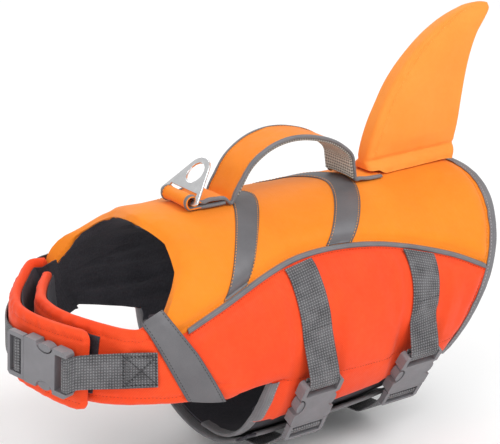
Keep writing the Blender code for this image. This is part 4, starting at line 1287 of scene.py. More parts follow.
@dataclass
class Bench:
    """What every sub-assembly works with: the form, the finishes and the sewing."""

    form: Form
    narrow: float = 0.0102
    finish: dict[Slot, bpy.types.Material] = field(default_factory=dict)
    sewing: Sewing = field(default_factory=Sewing)

    def __post_init__(self) -> None:
        """Make the finishes."""
        self.finish = {slot: look.make() for slot, look in FINISHES.items()}

    def place(self, name: str, mesh: bpy.types.Mesh, slot: Optional[Slot],
              nodes: Sequence[str]) -> bpy.types.Object:
        """Put a finished mesh into the scene.

        Args:
            name: name of the piece.
            mesh: its mesh.
            slot: the record's slot for its finish; not used.
            nodes: the frame's nodes that it stands for.

        Returns:
            The piece.
        """
        piece = bpy.data.objects.new(name, mesh)
        bpy.context.scene.collection.objects.link(piece)
        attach(piece, JACKET)
        if nodes:
            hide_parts(*nodes)
        LOG.info("%s: %d faces", name, len(mesh.polygons))
        return piece

    def sheet(self, node: str, sheet: Sheet, slot: Slot, held: Held) -> bpy.types.Object:
        """Place a sheet of cloth and state its cut, but for tapes under a centimetre wide.

        Args:
            node: the frame's node that it stands for.
            sheet: the cloth.
            slot: the record's slot for its finish.
            held: how its cut is held; not used.

        Returns:
            The piece.
        """
        piece = self.place(node + "_sewn", sheet.mesh(node, self.finish[slot]), slot, (node,))
        width, length, area = sheet.size()
        if min(width, length) > self.narrow:
            area if area < 0.97 * width * length else None
        LOG.info("%s: cut %.0f x %.0f mm, %.0f cm2", node, width * 1000, length * 1000, area * 1e4)
        return piece

    def pad(self, node: str, sheet: Sheet, slot: Slot, fill: float) -> bpy.types.Object:
        """Place a padded piece.

        Args:
            node: the frame's node that it stands for.
            sheet: the cloth round the filling.
            slot: the record's slot for its finish.
            fill: how full it is; not used.

        Returns:
            The piece.
        """
        piece = self.place(node + "_sewn", sheet.mesh(node, self.finish[slot]), slot, (node,))
        return piece


# ---------------------------------------------------------------- body panels
@dataclass
class Lattice:
    """Fine crossings laid between the coarse ones of a sheet of the body."""

    places: list[list[Place]]
    column_cell: list[int]
    row_cell: list[int]

    @classmethod
    def between(cls, coarse: list[list[Place]], step: float) -> "Lattice":
        """Refine a grid.

        Args:
            coarse: x and girth angle of each crossing.
            step: about how far apart the fine crossings lie, in millimetres.

        Returns:
            The fine grid.
        """
        columns, rows = len(coarse), len(coarse[0])
        middle, centre = rows // 3, columns // 2
        parts = [max(1, round(abs(coarse[i + 1][middle][0] - coarse[i][middle][0]) / step))
                 for i in range(columns - 1)]
        turns = [max(1, round(abs(coarse[centre][j + 1][1] - coarse[centre][j][1]) * ARC / step))
                 for j in range(rows - 1)]
        at = [(i, k / n) for i, n in enumerate(parts) for k in range(n)] + [(columns - 2, 1.0)]
        down = [(j, k / n) for j, n in enumerate(turns) for k in range(n)] + [(rows - 2, 1.0)]
        places = []
        for i, f in at:
            row = []
            for j, g in down:
                a, b, c, d = coarse[i][j], coarse[i + 1][j], coarse[i][j + 1], coarse[i + 1][j + 1]
                row.append((mix(mix(a[0], b[0], f), mix(c[0], d[0], f), g),
                            mix(mix(a[1], b[1], f), mix(c[1], d[1], f), g)))
            places.append(row)
        return cls(places, [i for i, _ in at], [j for j, _ in down])

    def beside_leg(self, corner: int) -> Callable[[int, int], bool]:
        """Test that keeps every cell but those of the leg opening, in front of the corner."""
        return lambda i, j: not (self.column_cell[i] < corner and self.row_cell[j] >= LEG_ROW)


@dataclass
class BodyPanels:
    """The back and side panels with the linings under them."""

    step: float = 2.2
    lining_step: float = 2.5
    lining: float = 0.6
    fill: float = 0.55
    seam_depth: float = 0.7
    seam_width: float = 1.1
    seam_gather: Gather = Gather(0.30, 6.0, 7.5, 4.5)
    rear_gather: Gather = Gather(0.26, 6.5, 13.0, 5.0)
    low_gather: Gather = Gather(0.34, 7.0, 9.0, 5.0)
    line_gather: Gather = Gather(0.22, 6.0, 4.0, 3.0)
    neck_gather: Gather = Gather(0.42, 8.0, 7.0, 5.0)
    hang: float = 3.3
    lap: float = 2.0
    leg_lap: float = 1.3
    neck_turn: float = 0.4
    wrap_turn: float = 1.4
    neck_wrap: Sequence[Row] = (
        (0.2, 0.72, 0, 1.4, 0.85), (-0.7, 0.72, 0.2, 1.38, 0.9), (-1.15, 0.72, 0.55, 1.36, 0.95),
        (-0.9, 0.72, 0.9, 1.38, 0.97))

    def grid(self, form: Form, side: Side, layout: Layout, step: float) -> Lattice:
        """Fine crossings of one sheet of the body.

        Args:
            form: the jacket's form.
            side: the sheet.
            layout: its columns.
            step: about how far apart the crossings lie.

        Returns:
            The crossings.
        """
        if side == Side.BACK:
            coarse = [[form.back_place(i, j, layout) for j in range(BACK_ROWS + 1)]
                      for i in range(layout.count + 1)]
        else:
            coarse = [[form.side_place(i, j, side, layout) for j in range(SIDE_ROWS + 1)]
                      for i in range(layout.count + 1)]
            coarse = [[(x, side * angle) for x, angle in row] for row in coarse]
        return Lattice.between(coarse, step)

    def panel(self, form: Form, side: Side) -> Sheet:
        """A padded panel, with soft creases and the cloth turned round its neck edge.

        Args:
            form: the jacket's form.
            side: the panel.

        Returns:
            The panel.
        """
        grid = self.grid(form, side, form.layout, self.step)
        pad = form.back_pad if side == Side.BACK else form.side_pad
        outer, inner, cut = [], [], []
        if side == Side.BACK:
            for dx, out, up, dx_in, out_in in self.neck_wrap:
                top, low = [], []
                for x, angle in grid.places[0]:
                    under = form.flare(max(0.0, dx), angle) + out
                    height = mix(under, form.foot + form.edge - 0.1, up)
                    height += 0.15 * up * ripple(angle, 1, 5.5)
                    top.append(form.point(x + dx, angle, height))
                    low.append(form.point(x + dx_in, angle, form.flare(dx_in, angle) + out_in))
                outer.append(top)
                inner.append(low)
                cut.append([(x - 9.0 + dx, angle * ARC) for x, angle in grid.places[0]])
        for k, row in enumerate(grid.places):
            puff = [self.pucker(form, side, x, angle) for x, angle in row]
            relief = [form.relief(side, x, angle) if side == Side.BACK else 0.0 for x, angle in row]
            outer.append([form.point(x, angle, form.foot + pad(x, angle) + p - r)
                          for (x, angle), p, r in zip(row, puff, relief)])
            turn = self.wrap_turn if k == 0 and side == Side.BACK else 0.0
            inner.append([form.point(x + turn, angle, self.under_panel(form, side, x + turn, angle))
                          for x, angle in row])
            cut.append([(x, angle * ARC) for x, angle in row])
        keep = None if side == Side.BACK else grid.beside_leg(form.layout.corner)
        return Sheet(outer, inner, cut, keep, 4, 0.9)

    def under_panel(self, form: Form, side: Side, x: float, angle: float) -> float:
        """How far a panel's inner face stands out."""
        turned = form.flare(x - form.front(angle), angle) + 0.95 if side == Side.BACK else 0.0
        return max(form.foot, turned)

    def pucker(self, form: Form, side: Side, x: float, angle: float) -> float:
        """Small gathers beside the seams, in millimetres outwards.

        Args:
            form: the jacket's form.
            side: the panel.
            x: place along X.
            angle: girth angle.

        Returns:
            The height of the gathers.
        """
        seam = abs(form.arch(x) - abs(angle)) * ARC
        edge = form.rear(angle) - x
        lift = self.seam_gather.at(x, 3 + side, seam)
        lift += self.rear_gather.at(angle * ARC, 5 + side, edge)
        if side != Side.BACK:
            low = (form.lower - abs(angle)) * ARC
            lift += self.low_gather.at(x, 8 + side, low)
            line = (abs(angle) - self.low_seam(x)) * ARC
            lift -= self.seam_depth * hump(line, 0, self.seam_width)
            lift += self.line_gather.at(x, 14 + side, abs(line))
        else:
            front = x - form.front(angle)
            lift += self.neck_gather.at(angle * ARC, 9, front)
        return lift

    @staticmethod
    def low_seam(x: float) -> float:
        """Girth angle of the seam low on each side."""
        return 105.0 + (x - 5.0) / 14.0

    def under(self, form: Form, side: Side) -> Sheet:
        """A lining, with the wrinkles that hang in on its inner face.

        Args:
            form: the jacket's form.
            side: the lining.

        Returns:
            The lining.
        """
        layout = Layout((0, 9), 2, 8.5, (0, 32), (62, 92, 121), (8.5, 0))
        grid = self.grid(form, side, layout, self.lining_step)
        outer, inner = [], []
        for k, row in enumerate(grid.places):
            lap = self.lap / ARC if side == Side.BACK else 0.0
            turn = self.neck_turn if k == 0 and side == Side.BACK else 0.0
            places = [(x + turn, angle) for x, angle in row]
            places[0] = (places[0][0], places[0][1] - lap)
            places[-1] = (places[-1][0], places[-1][1] + lap)
            if side != Side.BACK and grid.column_cell[k] < layout.corner:
                j = grid.row_cell.index(LEG_ROW)
                places[j] = (places[j][0], places[j][1] + side * self.leg_lap / ARC)
            depth = []
            for x, angle in places:
                front = x - form.front(angle)
                rear = form.rear(angle) - x
                seam = (form.arch(x) - abs(angle)) * ARC
                room = smooth((front - 12) / 20) * smooth((rear - 8) / 8)
                if side != Side.BACK:
                    room *= smooth((form.lower - abs(angle)) * ARC / 8) * smooth((-seam - 1) / 6)
                wave = 0.9 * noise.noise(Vector((x / 60, angle / 5.0, 3.1 + side)))
                wave += 0.45 * noise.noise(Vector((x / 34, angle / 4.2, 9.4)))
                lapped = 0.75 * smooth((5.0 - seam) / 3.0) if side == Side.BACK else 0.0
                turned = form.flare(front, angle) if side == Side.BACK else 0.0
                depth.append(room * max(0.0, wave + 0.3) * self.hang + lapped - turned)
            hung = list(zip(places, depth))
            outer.append([form.point(x, angle, self.lining - d) for (x, angle), d in hung])
            inner.append([form.point(x, angle, -d) for (x, angle), d in hung])
        cut = [[(x, angle * ARC) for x, angle in row] for row in grid.places]
        return Sheet(outer, inner, cut,
                     None if side == Side.BACK else grid.beside_leg(layout.corner))

    def build(self, bench: Bench) -> None:
        """Make all panels and linings.

        Args:
            bench: what the pieces are made with.
        """
        form = bench.form
        bench.pad("back_panel", self.panel(form, Side.BACK), Slot.YELLOW, self.fill)
        bench.sheet("lining_back", self.under(form, Side.BACK), Slot.LINING, Held.LAID)
        for side, tag in FLANKS:
            bench.pad("side_panel_" + tag, self.panel(form, side), Slot.RED, self.fill)
            bench.sheet("lining_side_" + tag, self.under(form, side), Slot.LINING, Held.LAID)
            self.stitch(bench, side)

    def stitch(self, bench: Bench, side: Side) -> None:
        """Seams that show on one side of the body.

        Args:
            bench: what the pieces are made with.
            side: the flank.
        """
        form, sewing = bench.form, bench.sewing
        end = 150.0
        for _ in range(ROUNDS):
            end = form.rear(form.arch(end)) - form.rear_inset
        for yarn, off in ((Yarn.ORANGE, -2.9), (Yarn.RED, 3.2)):
            line = []
            for k in range(180):
                x = mix(-106, end, k / 179)
                angle = side * (form.arch(x) + off / ARC)
                line.append(form.point(x, angle, form.top(x, angle) + 0.1))
            sewing.run(yarn, line)
        line = []
        for k in range(120):
            x = mix(form.belly(106, side) + 8, form.rear(110) - 9, k / 119)
            angle = side * self.low_seam(x)
            line.append(form.point(x, angle, form.top(x, angle) - 0.45))
        sewing.run(Yarn.RED, line)


# ---------------------------------------------------------------- strips
def strip(pairs: Sequence[tuple[Vector, Vector]], across: int, step: float, wall: float,
          side: float = 0.0, lift: Optional[Callable[[float, float], float]] = None) -> Sheet:
    """Flat strip of cloth or webbing along pairs of edge points.

    Args:
        pairs: the two edge points at each place.
        across: cells across the strip.
        step: length of a cell.
        wall: thickness.
        side: -1, 0 or 1 for a wall that grows inwards, both ways or outwards.
        lift: extra height at a distance along and a share across.

    Returns:
        The strip.
    """
    first, second = [a for a, _ in pairs], [b for _, b in pairs]
    length = sum((b - a).length for a, b in zip(first, first[1:]))
    count = max(len(pairs) - 1, round(length / step))
    lines = [(spline(first, k / count), spline(second, k / count)) for k in range(count + 1)]
    middle = [a.lerp(b, 0.5) for a, b in lines]
    outer, inner, cut, run = [], [], [], 0.0
    for k, (a, b) in enumerate(lines):
        ahead = middle[min(count, k + 1)] - middle[max(0, k - 1)]
        normal = ahead.cross(b - a).normalized()
        run += (middle[k] - middle[k - 1]).length if k else 0.0
        width = (b - a).length
        top, low, places = [], [], []
        for j in range(across + 1):
            t = j / across
            soft = 1 - 0.35 * max(0.0, abs(2 * t - 1) - 0.82) / 0.18
            rise = lift(run, t) if lift else 0.0
            at = a.lerp(b, t)
            top.append(at + normal * (wall * soft * (0.5 + side / 2) + rise))
            low.append(at - normal * (wall * soft * (0.5 - side / 2) - rise))
            places.append((run, (t - 0.5) * width))
        outer.append(top)
        inner.append(low)
        cut.append(places)
    return Sheet(outer, inner, cut, None, 2, 0.25)


@dataclass
class SeamTapes:
    """The narrow tapes over the arch seams and the reflective tapes over the back."""

    arch_half: float = 1.9
    tape: float = 0.55
    width: float = 22.0
    rows: int = 8
    count: int = 110
    margin: float = 2.6
    arch_places: int = 79
    crossings: Sequence[tuple[str, float, float]] = (("front", -8, -66), ("rear", 78, 32))

    def arch(self, bench: Bench, side: Side, tag: str) -> None:
        """Tape over the seam between the back and one side.

        Args:
            bench: what the pieces are made with.
            side: the flank.
            tag: the flank's name.
        """
        form, end = bench.form, 160.0
        for _ in range(ROUNDS):
            end = form.rear(form.arch(end)) - 7.5
        pairs = []
        for k in range(self.arch_places + 1):
            x = mix(-107.0, end, k / self.arch_places)
            out = form.foot + form.edge + 0.25 + 0.12 * ripple(x, 2, 9.0)
            edges = [form.point(x, side * form.arch(x) + w / ARC, out)
                     for w in (-self.arch_half, self.arch_half)]
            pairs.append((edges[0], edges[1]))
        sheet = strip(pairs, 6, 2.4, 1.1, 1.0, lambda run, t: 0.35 * math.sin(math.pi * t))
        bench.sheet("arch_tape_" + tag, sheet, Slot.BINDING, Held.LAID)

    def cross(self, bench: Bench, name: str, spine: float, seam: float) -> None:
        """Reflective tape over the back, its middle ahead at the seams.

        Args:
            bench: what the pieces are made with.
            name: the tape's name.
            spine: x of its middle on the spine.
            seam: x of its middle at the arch seams.
        """
        form = bench.form
        rows, count, margin = self.rows, self.count, self.margin
        lines: dict[int, list[Vector]] = {}

        def spot(i: int, k: int) -> tuple[Vector, Vector, Place]:
            """Crossing i along X and k over the back, which also leads the stitches on.

            Args:
                i: step along X.
                k: step over the back.

            Returns:
                Outer point, inner point and place on the cut.
            """
            s, x = i / rows, spine
            for _ in range(ROUNDS):
                reach = form.arch(x) * ARC - margin
                angle = (2 * k / count - 1) * reach / ARC
                share = angle * ARC / (reach + margin)
                x = mix(spine, seam, math.hypot(share, 0.12) ** 1.4) + (s - 0.5) * self.width
            out = form.top(x, angle) + 0.2 - form.relief(Side.BACK, x, angle)
            out += 0.22 * math.sin(math.pi * s) + 0.18 * ripple(angle * ARC, 4 + i // 5, 13.0)
            if i in (1, rows - 1):
                shift = -1.5 if i == 1 else 1.5
                lines.setdefault(i, []).append(form.point(x + shift, angle, out + 0.68))
            return (form.point(x, angle, out + self.tape), form.point(x, angle, out),
                    (angle * ARC, (s - 0.5) * self.width))

        tape = laid(rows, count, spot, 2, 0.2)
        for line in lines.values():
            bench.sewing.run(Yarn.ORANGE, line)
        bench.sheet("tape_" + name, tape, Slot.TAPE, Held.LAID)

    def build(self, bench: Bench) -> None:
        """Make the tapes.

        Args:
            bench: what the pieces are made with.
        """
        for side, tag in FLANKS:
            self.arch(bench, side, tag)
        for name, spine, seam in self.crossings:
            self.cross(bench, name, spine, seam)


# ---------------------------------------------------------------- folded bindings
@dataclass(frozen=True)
class EdgePlace:
    """Place on a bound edge: its point, the ways in and out, and the wall's two heights."""

    at: Vector
    inward: Vector
    outward: Vector
    low: float
    high: float


@dataclass
class FoldedBinding:
    """Band folded over an edge, with slightly wavy selvedges."""

    wall: float = 0.8
    leg: float = 5.5
    cells: int = 16

    def sheet(self, places: Sequence[EdgePlace], lane: float, step: float = 2.2) -> Sheet:
        """The band.

        Args:
            places: places along the edge.
            lane: number that makes its waves its own.
            step: length of a cell.

        Returns:
            The sheet.
        """
        count = max(1, round(sum((b.at - a.at).length for a, b in zip(places, places[1:])) / step))
        outer, inner, cut, run, last = [], [], [], 0.0, None
        for k in range(count + 1):
            f = k / count
            at = spline([p.at for p in places], f)
            i = min(int(f * (len(places) - 1)), len(places) - 2)
            g = f * (len(places) - 1) - i
            inward = places[i].inward.lerp(places[i + 1].inward, g).normalized()
            outward = places[i].outward.lerp(places[i + 1].outward, g).normalized()
            low = mix(places[i].low, places[i + 1].low, g) - 0.2
            high = mix(places[i].high, places[i + 1].high, g) + 0.3
            run += (at - last).length if last is not None else 0.0
            last = at
            wave = 0.35 * ripple(run, lane, 7.0)
            path = [Vector((self.leg + wave, high + 0.1)), Vector((self.leg * 0.5, high + 0.35)),
                    Vector((0.3, high + 0.1)), Vector((-1.2, mix(high, low, 0.2))),
                    Vector((-1.45, mix(high, low, 0.5))), Vector((-1.2, mix(high, low, 0.8))),
                    Vector((0.3, low - 0.1)), Vector((self.leg * 0.5, low - 0.2)),
                    Vector((self.leg + wave, low))]

            def place(j: int, spot: Vector) -> Vector:
                """Point of the section on the edge, a little wavy."""
                bump = 0.12 * ripple(run + j * 1.3, lane + 2, 5.0)
                return at + inward * spot.x + outward * (spot.y + bump)

            top, deep, runs = fold(path, self.cells, self.wall / 2, place)
            outer.append(top)
            inner.append(deep)
            cut.append([(run, across) for across in runs])
        return Sheet(outer, inner, cut, None, 1)


@dataclass
class Bindings:
    """The bound edges of the body and the belly flap."""

    band: FoldedBinding = field(default_factory=FoldedBinding)
    flap_band: FoldedBinding = field(default_factory=lambda: FoldedBinding(0.8, 5.0))
    rear_places: int = 130
    leg_places: int = 63
    flap_places: int = 23
    red_line: float = 8.2

    def rear(self, bench: Bench) -> None:
        """Binding round the whole rear edge.

        Args:
            bench: what the pieces are made with.
        """
        form, places = bench.form, []
        high, seam = form.foot + form.edge, form.arch(160)
        angles = [mix(-form.lower, form.lower, k / self.rear_places)
                  for k in range(self.rear_places + 1)]
        for angle in angles:
            x = form.rear(angle)
            outward = form.normal(x, angle)
            ahead, behind = (form.on(form.rear(a), a) for a in (angle + 1, angle - 1))
            inward = outward.cross((ahead - behind).normalized()).normalized()
            inward = -inward if inward.x > 0 else inward
            places.append(EdgePlace(form.on(x, angle), inward, outward, 0.0, high + 0.1))
        bench.sheet("binding_rear", self.band.sheet(places, 11), Slot.BINDING, Held.FOLDED)
        line = [p.at + p.inward * 4.2 + p.outward * (high + 1.0) for p in places]
        bench.sewing.run(Yarn.PALE, line)
        for side in (Side.NEAR, Side.BACK, Side.FAR):
            line = []
            for angle in angles:
                flank = Side.NEAR if angle < 0 else Side.FAR
                sector = Side.BACK if abs(angle) < seam - 1 else flank
                if sector == side and abs(abs(angle) - seam) > 2.5:
                    x = form.rear(angle) - self.red_line
                    line.append(form.point(x, angle, form.top(x, angle) + 0.1))
            bench.sewing.run(Yarn.ORANGE if side == Side.BACK else Yarn.RED, line)

    def legs(self, bench: Bench, side: Side, tag: str, flaps: "BellyFlaps") -> None:
        """Binding up the front edge of one side's belly part and on along its flap.

        Args:
            bench: what the pieces are made with.
            side: the flank.
            tag: the flank's name.
            flaps: the belly flaps.
        """
        form = bench.form
        start = form.leg(-42, side)
        end = 184 if side == Side.NEAR else 208
        places, line = [], []
        for k in range(self.leg_places + 1):
            angle = mix(start + 0.8, end, k / self.leg_places)
            off = smooth((angle - form.lower + 1.5) / 4.0)
            low = mix(0.0, flaps.out(form, angle, side), off)
            high = mix(form.foot + form.edge + 0.1, flaps.out(form, angle, side) + flaps.wall, off)
            x = form.belly(angle, side)
            outward = form.normal(x, side * angle)
            at = form.on(x, side * angle)
            places.append(EdgePlace(at, Vector((1, 0, 0)), outward, low, high))
            line.append(at + Vector((4.3, 0, 0)) + outward * (high + 0.9))
        bench.sheet("binding_leg_" + tag, self.band.sheet(places, 17 + side), Slot.BINDING,
                    Held.FOLDED)
        bench.sewing.run(Yarn.PALE, line)

    def flap(self, bench: Bench, flaps: "BellyFlaps") -> None:
        """Binding along the free edge of the outer flap.

        Args:
            bench: what the pieces are made with.
            flaps: the belly flaps.
        """
        form, places = bench.form, []
        start, end = (flaps.x(form, flaps.tip, Side.FAR, s) for s in (0, 1))
        for k in range(self.flap_places + 1):
            x = mix(start + 7.5, end - 1.0, k / self.flap_places)
            tip = form.point(x, flaps.tip, flaps.lift)
            inward = (form.point(x, flaps.near_tip, flaps.lift) - tip).normalized()
            outward = form.normal(x, flaps.tip)
            outward = (outward - inward * outward.dot(inward)).normalized()
            places.append(EdgePlace(tip, inward, outward, 0.0, flaps.wall))
        bench.sheet("binding_flap", self.flap_band.sheet(places, 23), Slot.BINDING, Held.FOLDED)

    def build(self, bench: Bench, flaps: "BellyFlaps") -> None:
        """Make the bindings.

        Args:
            bench: what the pieces are made with.
            flaps: the belly flaps.
        """
        self.rear(bench)
        for side, tag in FLANKS:
            self.legs(bench, side, tag, flaps)
        self.flap(bench, flaps)


@dataclass
class BellyFlaps:
    """The two black flaps that lap under the belly."""

    wall: float = 1.5
    lift: float = 4.8
    tip: float = 217.0
    near_tip: float = 208.0
    end: float = 102.0
    columns: int = 44
    rows: int = 56

    def out(self, form: Form, angle: float, side: Side) -> float:
        """How far a flap lies out from the form."""
        off = smooth((angle - form.lower) / 13)
        return 0.0 if side == Side.NEAR else mix(form.foot, self.lift, off)

    def x(self, form: Form, angle: float, side: Side, s: float) -> float:
        """x of a flap's place, from its front edge to its rear edge."""
        end = mix(form.rear(angle) - 2.0, self.end, smooth((abs(angle) - form.lower) / 20))
        return mix(form.belly(angle, side), end, s)

    def sheet(self, form: Form, side: Side) -> Sheet:
        """One flap, with slack waves.

        Args:
            form: the jacket's form.
            side: the flank.

        Returns:
            The flap.
        """
        last = self.near_tip if side == Side.NEAR else self.tip

        def spot(i: int, k: int) -> tuple[Vector, Vector, Place]:
            """Crossing of column i along X and row k down the girth.

            Args:
                i: the column.
                k: the row.

            Returns:
                Outer point, inner point and place on the cut.
            """
            angle = mix(form.lower + 0.7, last, k / self.rows)
            x = self.x(form, angle, side, i / self.columns)
            room = smooth((angle - form.lower) / 14) * smooth((last - angle) / 9)
            slack = (room * math.sin(math.pi * i / self.columns) * 0.7
                     * noise.noise(Vector((x / 24, angle / 7, 4.0 + side))))
            out = self.out(form, angle, side)
            slack = min(slack, 0.0) if side == Side.NEAR else slack
            return (form.point(x, side * angle, out + self.wall + slack),
                    form.point(x, side * angle, out + slack), (x, angle * ARC))

        return laid(self.columns, self.rows, spot, 2, 0.4)

    def build(self, bench: Bench) -> None:
        """Make both flaps."""
        for side, tag in FLANKS:
            bench.sheet("flap_" + tag, self.sheet(bench.form, side), Slot.LINING, Held.LAID)


# ---------------------------------------------------------------- chest wings
NEAR_ROWS = (
    (-141, -70, -36.5, -113, -76, -92), (-146.5, -60, -38, -128, -68, -92),
    (-152.5, -42, -38.5, -146, -54, -93), (-157.5, -28, -38, -157, -38, -94),
    (-162, -12, -37.5, -162.5, -18, -95), (-163, 5, -37, -164, 3, -94),
    (-160, 22, -36, -161, 21, -93), (-149, 40, -35, -149, 39, -91), (-133, 59, -34, -129, 57, -88))
FAR_ROWS = (
    (-142, 69, -30, -118, 77.5, -85), (-154, 59, -33, -135, 71.5, -89),
    (-169, 42, -35.5, -156, 58, -91.5), (-178.5, 24, -37, -173, 38, -92.5),
    (-181, 8, -37.5, -179.5, 17, -93), (-178, -9.5, -38.5, -177.5, -3, -94.5),
    (-172, -29, -39, -173.5, -25, -96), (-164, -45, -40, -166.5, -43, -97))


@dataclass
class ChestWing:
    """One padded chest wing, its lining and the reflective tape over its seam to the body."""

    side: Side
    tag: str
    rows: Sequence[Row]
    corner: float
    form: Form
    full: float = 8.6
    edge: float = 4.0
    round: float = 9.0
    bulge: float = 1.4
    gap: float = 2.6
    height: float = 57.0
    step: float = 1.6
    lining_step: float = 2.4
    sewn_in: float = 5.6
    fill: float = 0.6
    lining_gap: float = 0.5
    under_body: Row = (5.0, 1.5)
    lines: int = 38
    lining_lines: int = 24
    tape_width: float = 22.0
    tape_length: float = 72.0
    patch_rows: int = 30
    patch_columns: int = 26
    edge_gather: Gather = Gather(0.62, 5.2, 3.6, 4.4)
    end_gather: Gather = Gather(0.35, 6.0, 5.0, 4.0)
    tops: list[Vector] = field(default_factory=list)
    bottoms: list[Vector] = field(default_factory=list)
    marks: list[float] = field(default_factory=list)

    def __post_init__(self) -> None:
        """Lay the upright lines out along the wing."""
        drop = 8.0 if self.side == Side.NEAR else 1.5
        self.tops = [self.seam_point(DIAGONAL.top - drop)] + [Vector(r[:3]) for r in self.rows]
        low = self.seam_point(DIAGONAL.end(self.side) + 0.5)
        self.bottoms = [low] + [Vector(r[3:]) for r in self.rows]
        self.marks = [0.0]
        for a, b, c, d in zip(self.tops, self.tops[1:], self.bottoms, self.bottoms[1:]):
            self.marks.append(self.marks[-1] + ((b - a).length + (d - c).length) / 2)

    @property
    def length(self) -> float:
        """Length from the body to the tip."""
        return self.marks[-1]

    def seam_point(self, z: float) -> Vector:
        """Point of the wing's seam to the body at a height."""
        x = DIAGONAL.seam_x(z) - self.gap
        return self.form.point(x, self.side * self.form.angle_at(x, z, 3.4), 3.4)

    def edges(self, s: float) -> tuple[Vector, Vector]:
        """Top and bottom edge at a share of the length.

        Args:
            s: share of the length.

        Returns:
            The two points.
        """
        at = clamp(s) * self.length
        i = 0
        while i < len(self.marks) - 2 and at > self.marks[i + 1]:
            i += 1
        f = (i + (at - self.marks[i]) / (self.marks[i + 1] - self.marks[i])) / (len(self.marks) - 1)
        return spline(self.tops, f), spline(self.bottoms, f)

    def middle(self, s: float, t: float) -> tuple[Vector, Vector]:
        """Point and outward normal of the middle surface, t running down from the top edge.

        Args:
            s: share of the length.
            t: share of the height.

        Returns:
            The point and the normal.
        """
        up = max(0.0, 1 - t / self.corner, 1 - (1 - t) / self.corner)
        s *= 1 - 0.05 * (1 - math.sqrt(max(0.0, 1 - up * up)))
        top, bottom = self.edges(s)
        high, low = self.edges(min(1.0, s + 0.02)), self.edges(max(0.0, s - 0.02))
        ahead = high[0].lerp(high[1], t) - low[0].lerp(low[1], t)
        normal = ahead.cross(bottom - top).normalized() * -self.side
        return top.lerp(bottom, t) + normal * self.bulge * math.sin(math.pi * t), normal

    def thick(self, s: float, t: float) -> float:
        """Thickness at a place.

        Args:
            s: share of the length.
            t: share of the height.

        Returns:
            The thickness in millimetres.
        """
        edge = min(t * self.height, (1 - t) * self.height, (1 - s) * self.length, s * self.length)
        f = clamp(edge / self.round)
        return self.edge + (self.full - self.edge) * math.sqrt(1 - (1 - f) ** 2)

    def relief(self, s: float, t: float) -> float:
        """Gathers beside the edges, the sewn line along them and slack in the middle.

        Args:
            s: share of the length.
            t: share of the height.

        Returns:
            The height of the relief.
        """
        u, v = s * self.length, t * self.height
        rim = min(v, self.height - v)
        lane = 1 if v < self.height / 2 else 2
        lift = self.edge_gather.at(u, lane + self.side * 3, rim)
        lift *= smooth((u - 8) / 12)
        lift -= 0.9 * hump(rim, self.sewn_in, 1.2)
        end = self.length - u
        lift += self.end_gather.at(v, 5 + self.side, end)
        lift -= 0.6 * hump(end, 5.2, 1.2) * smooth((rim - 4) / 3)
        lift += 0.8 * noise.noise(Vector((u / 30, v / 17, 6.0 + self.side))) * smooth(rim / 12)
        return lift

    def outside(self, s: float, t: float, lift: float = 0.0) -> Vector:
        """Point over the outer face."""
        at, normal = self.middle(s, t)
        return at + normal * (self.thick(s, t) / 2 + lift)

    def inside(self, s: float, t: float, lift: float = 0.0) -> Vector:
        """Point under the inner face."""
        at, normal = self.middle(s, t)
        return at - normal * (self.thick(s, t) / 2 + lift)

    def upward(self, s: float) -> Vector:
        """Direction from the bottom edge to the top edge."""
        top, bottom = self.edges(s)
        return (top - bottom).normalized()

    def cloth(self) -> Sheet:
        """The padded wing.

        Returns:
            The cloth.
        """
        count, lines = round(self.length / self.step), self.lines

        def spot(i: int, j: int) -> tuple[Vector, Vector, Place]:
            """Crossing i along the wing and j down it.

            Args:
                i: step along the wing.
                j: step down it.

            Returns:
                Outer point, inner point and place on the cut.
            """
            s, t = i / count, j / lines
            return (self.outside(s, t, self.relief(s, t)), self.inside(s, t, -0.3),
                    (s * self.length, t * self.height))

        return laid(count, lines, spot, 6, 1.3)

    def lining(self) -> Sheet:
        """The lining inside the wing, a little slack.

        Returns:
            The lining.
        """
        gap, under_body = self.lining_gap, self.under_body
        count, lines = round(self.length / self.lining_step), self.lining_lines

        def spot(i: int, j: int) -> tuple[Vector, Vector, Place]:
            """Crossing i along the wing and j down it; the first ones lie under the body's edge.

            Args:
                i: step along the wing.
                j: step down it.

            Returns:
                Outer point, inner point and place on the cut.
            """
            t = mix(0.055, 0.945, j / lines)
            if i < len(under_body):
                z = mix(DIAGONAL.top, DIAGONAL.end(self.side), t)
                x = DIAGONAL.seam_x(z) + under_body[i]
                angle = self.side * self.form.angle_at(x, z, 0.0)
                return (self.form.point(x, angle, -0.35), self.form.point(x, angle, -0.95),
                        (-under_body[i], t * self.height))
            s = mix(3.0 / self.length, 1 - 3.4 / self.length, (i - len(under_body)) / count)
            room = smooth((t - 0.05) / 0.15) * smooth((0.95 - t) / 0.15)
            wave = noise.noise(Vector((s * 5, t * 3, 2.0 + self.side)))
            slack = room * max(0.0, 0.2 + wave) * 0.9
            return (self.inside(s, t, gap + slack), self.inside(s, t, gap + slack + 0.6),
                    (s * self.length, t * self.height))

        return laid(count + len(under_body), lines, spot)

    def diagonal(self) -> tuple[Sheet, list[list[Vector]]]:
        """Tape over the seam, with the lines of its stitches.

        Returns:
            The tape and the lines.
        """
        form, far = self.form, self.side == Side.FAR
        start, end = DIAGONAL.top - (6.0 if far else 0.0), DIAGONAL.end(self.side)
        rows, count, high = 12, 60, 0.09 if far else -0.08

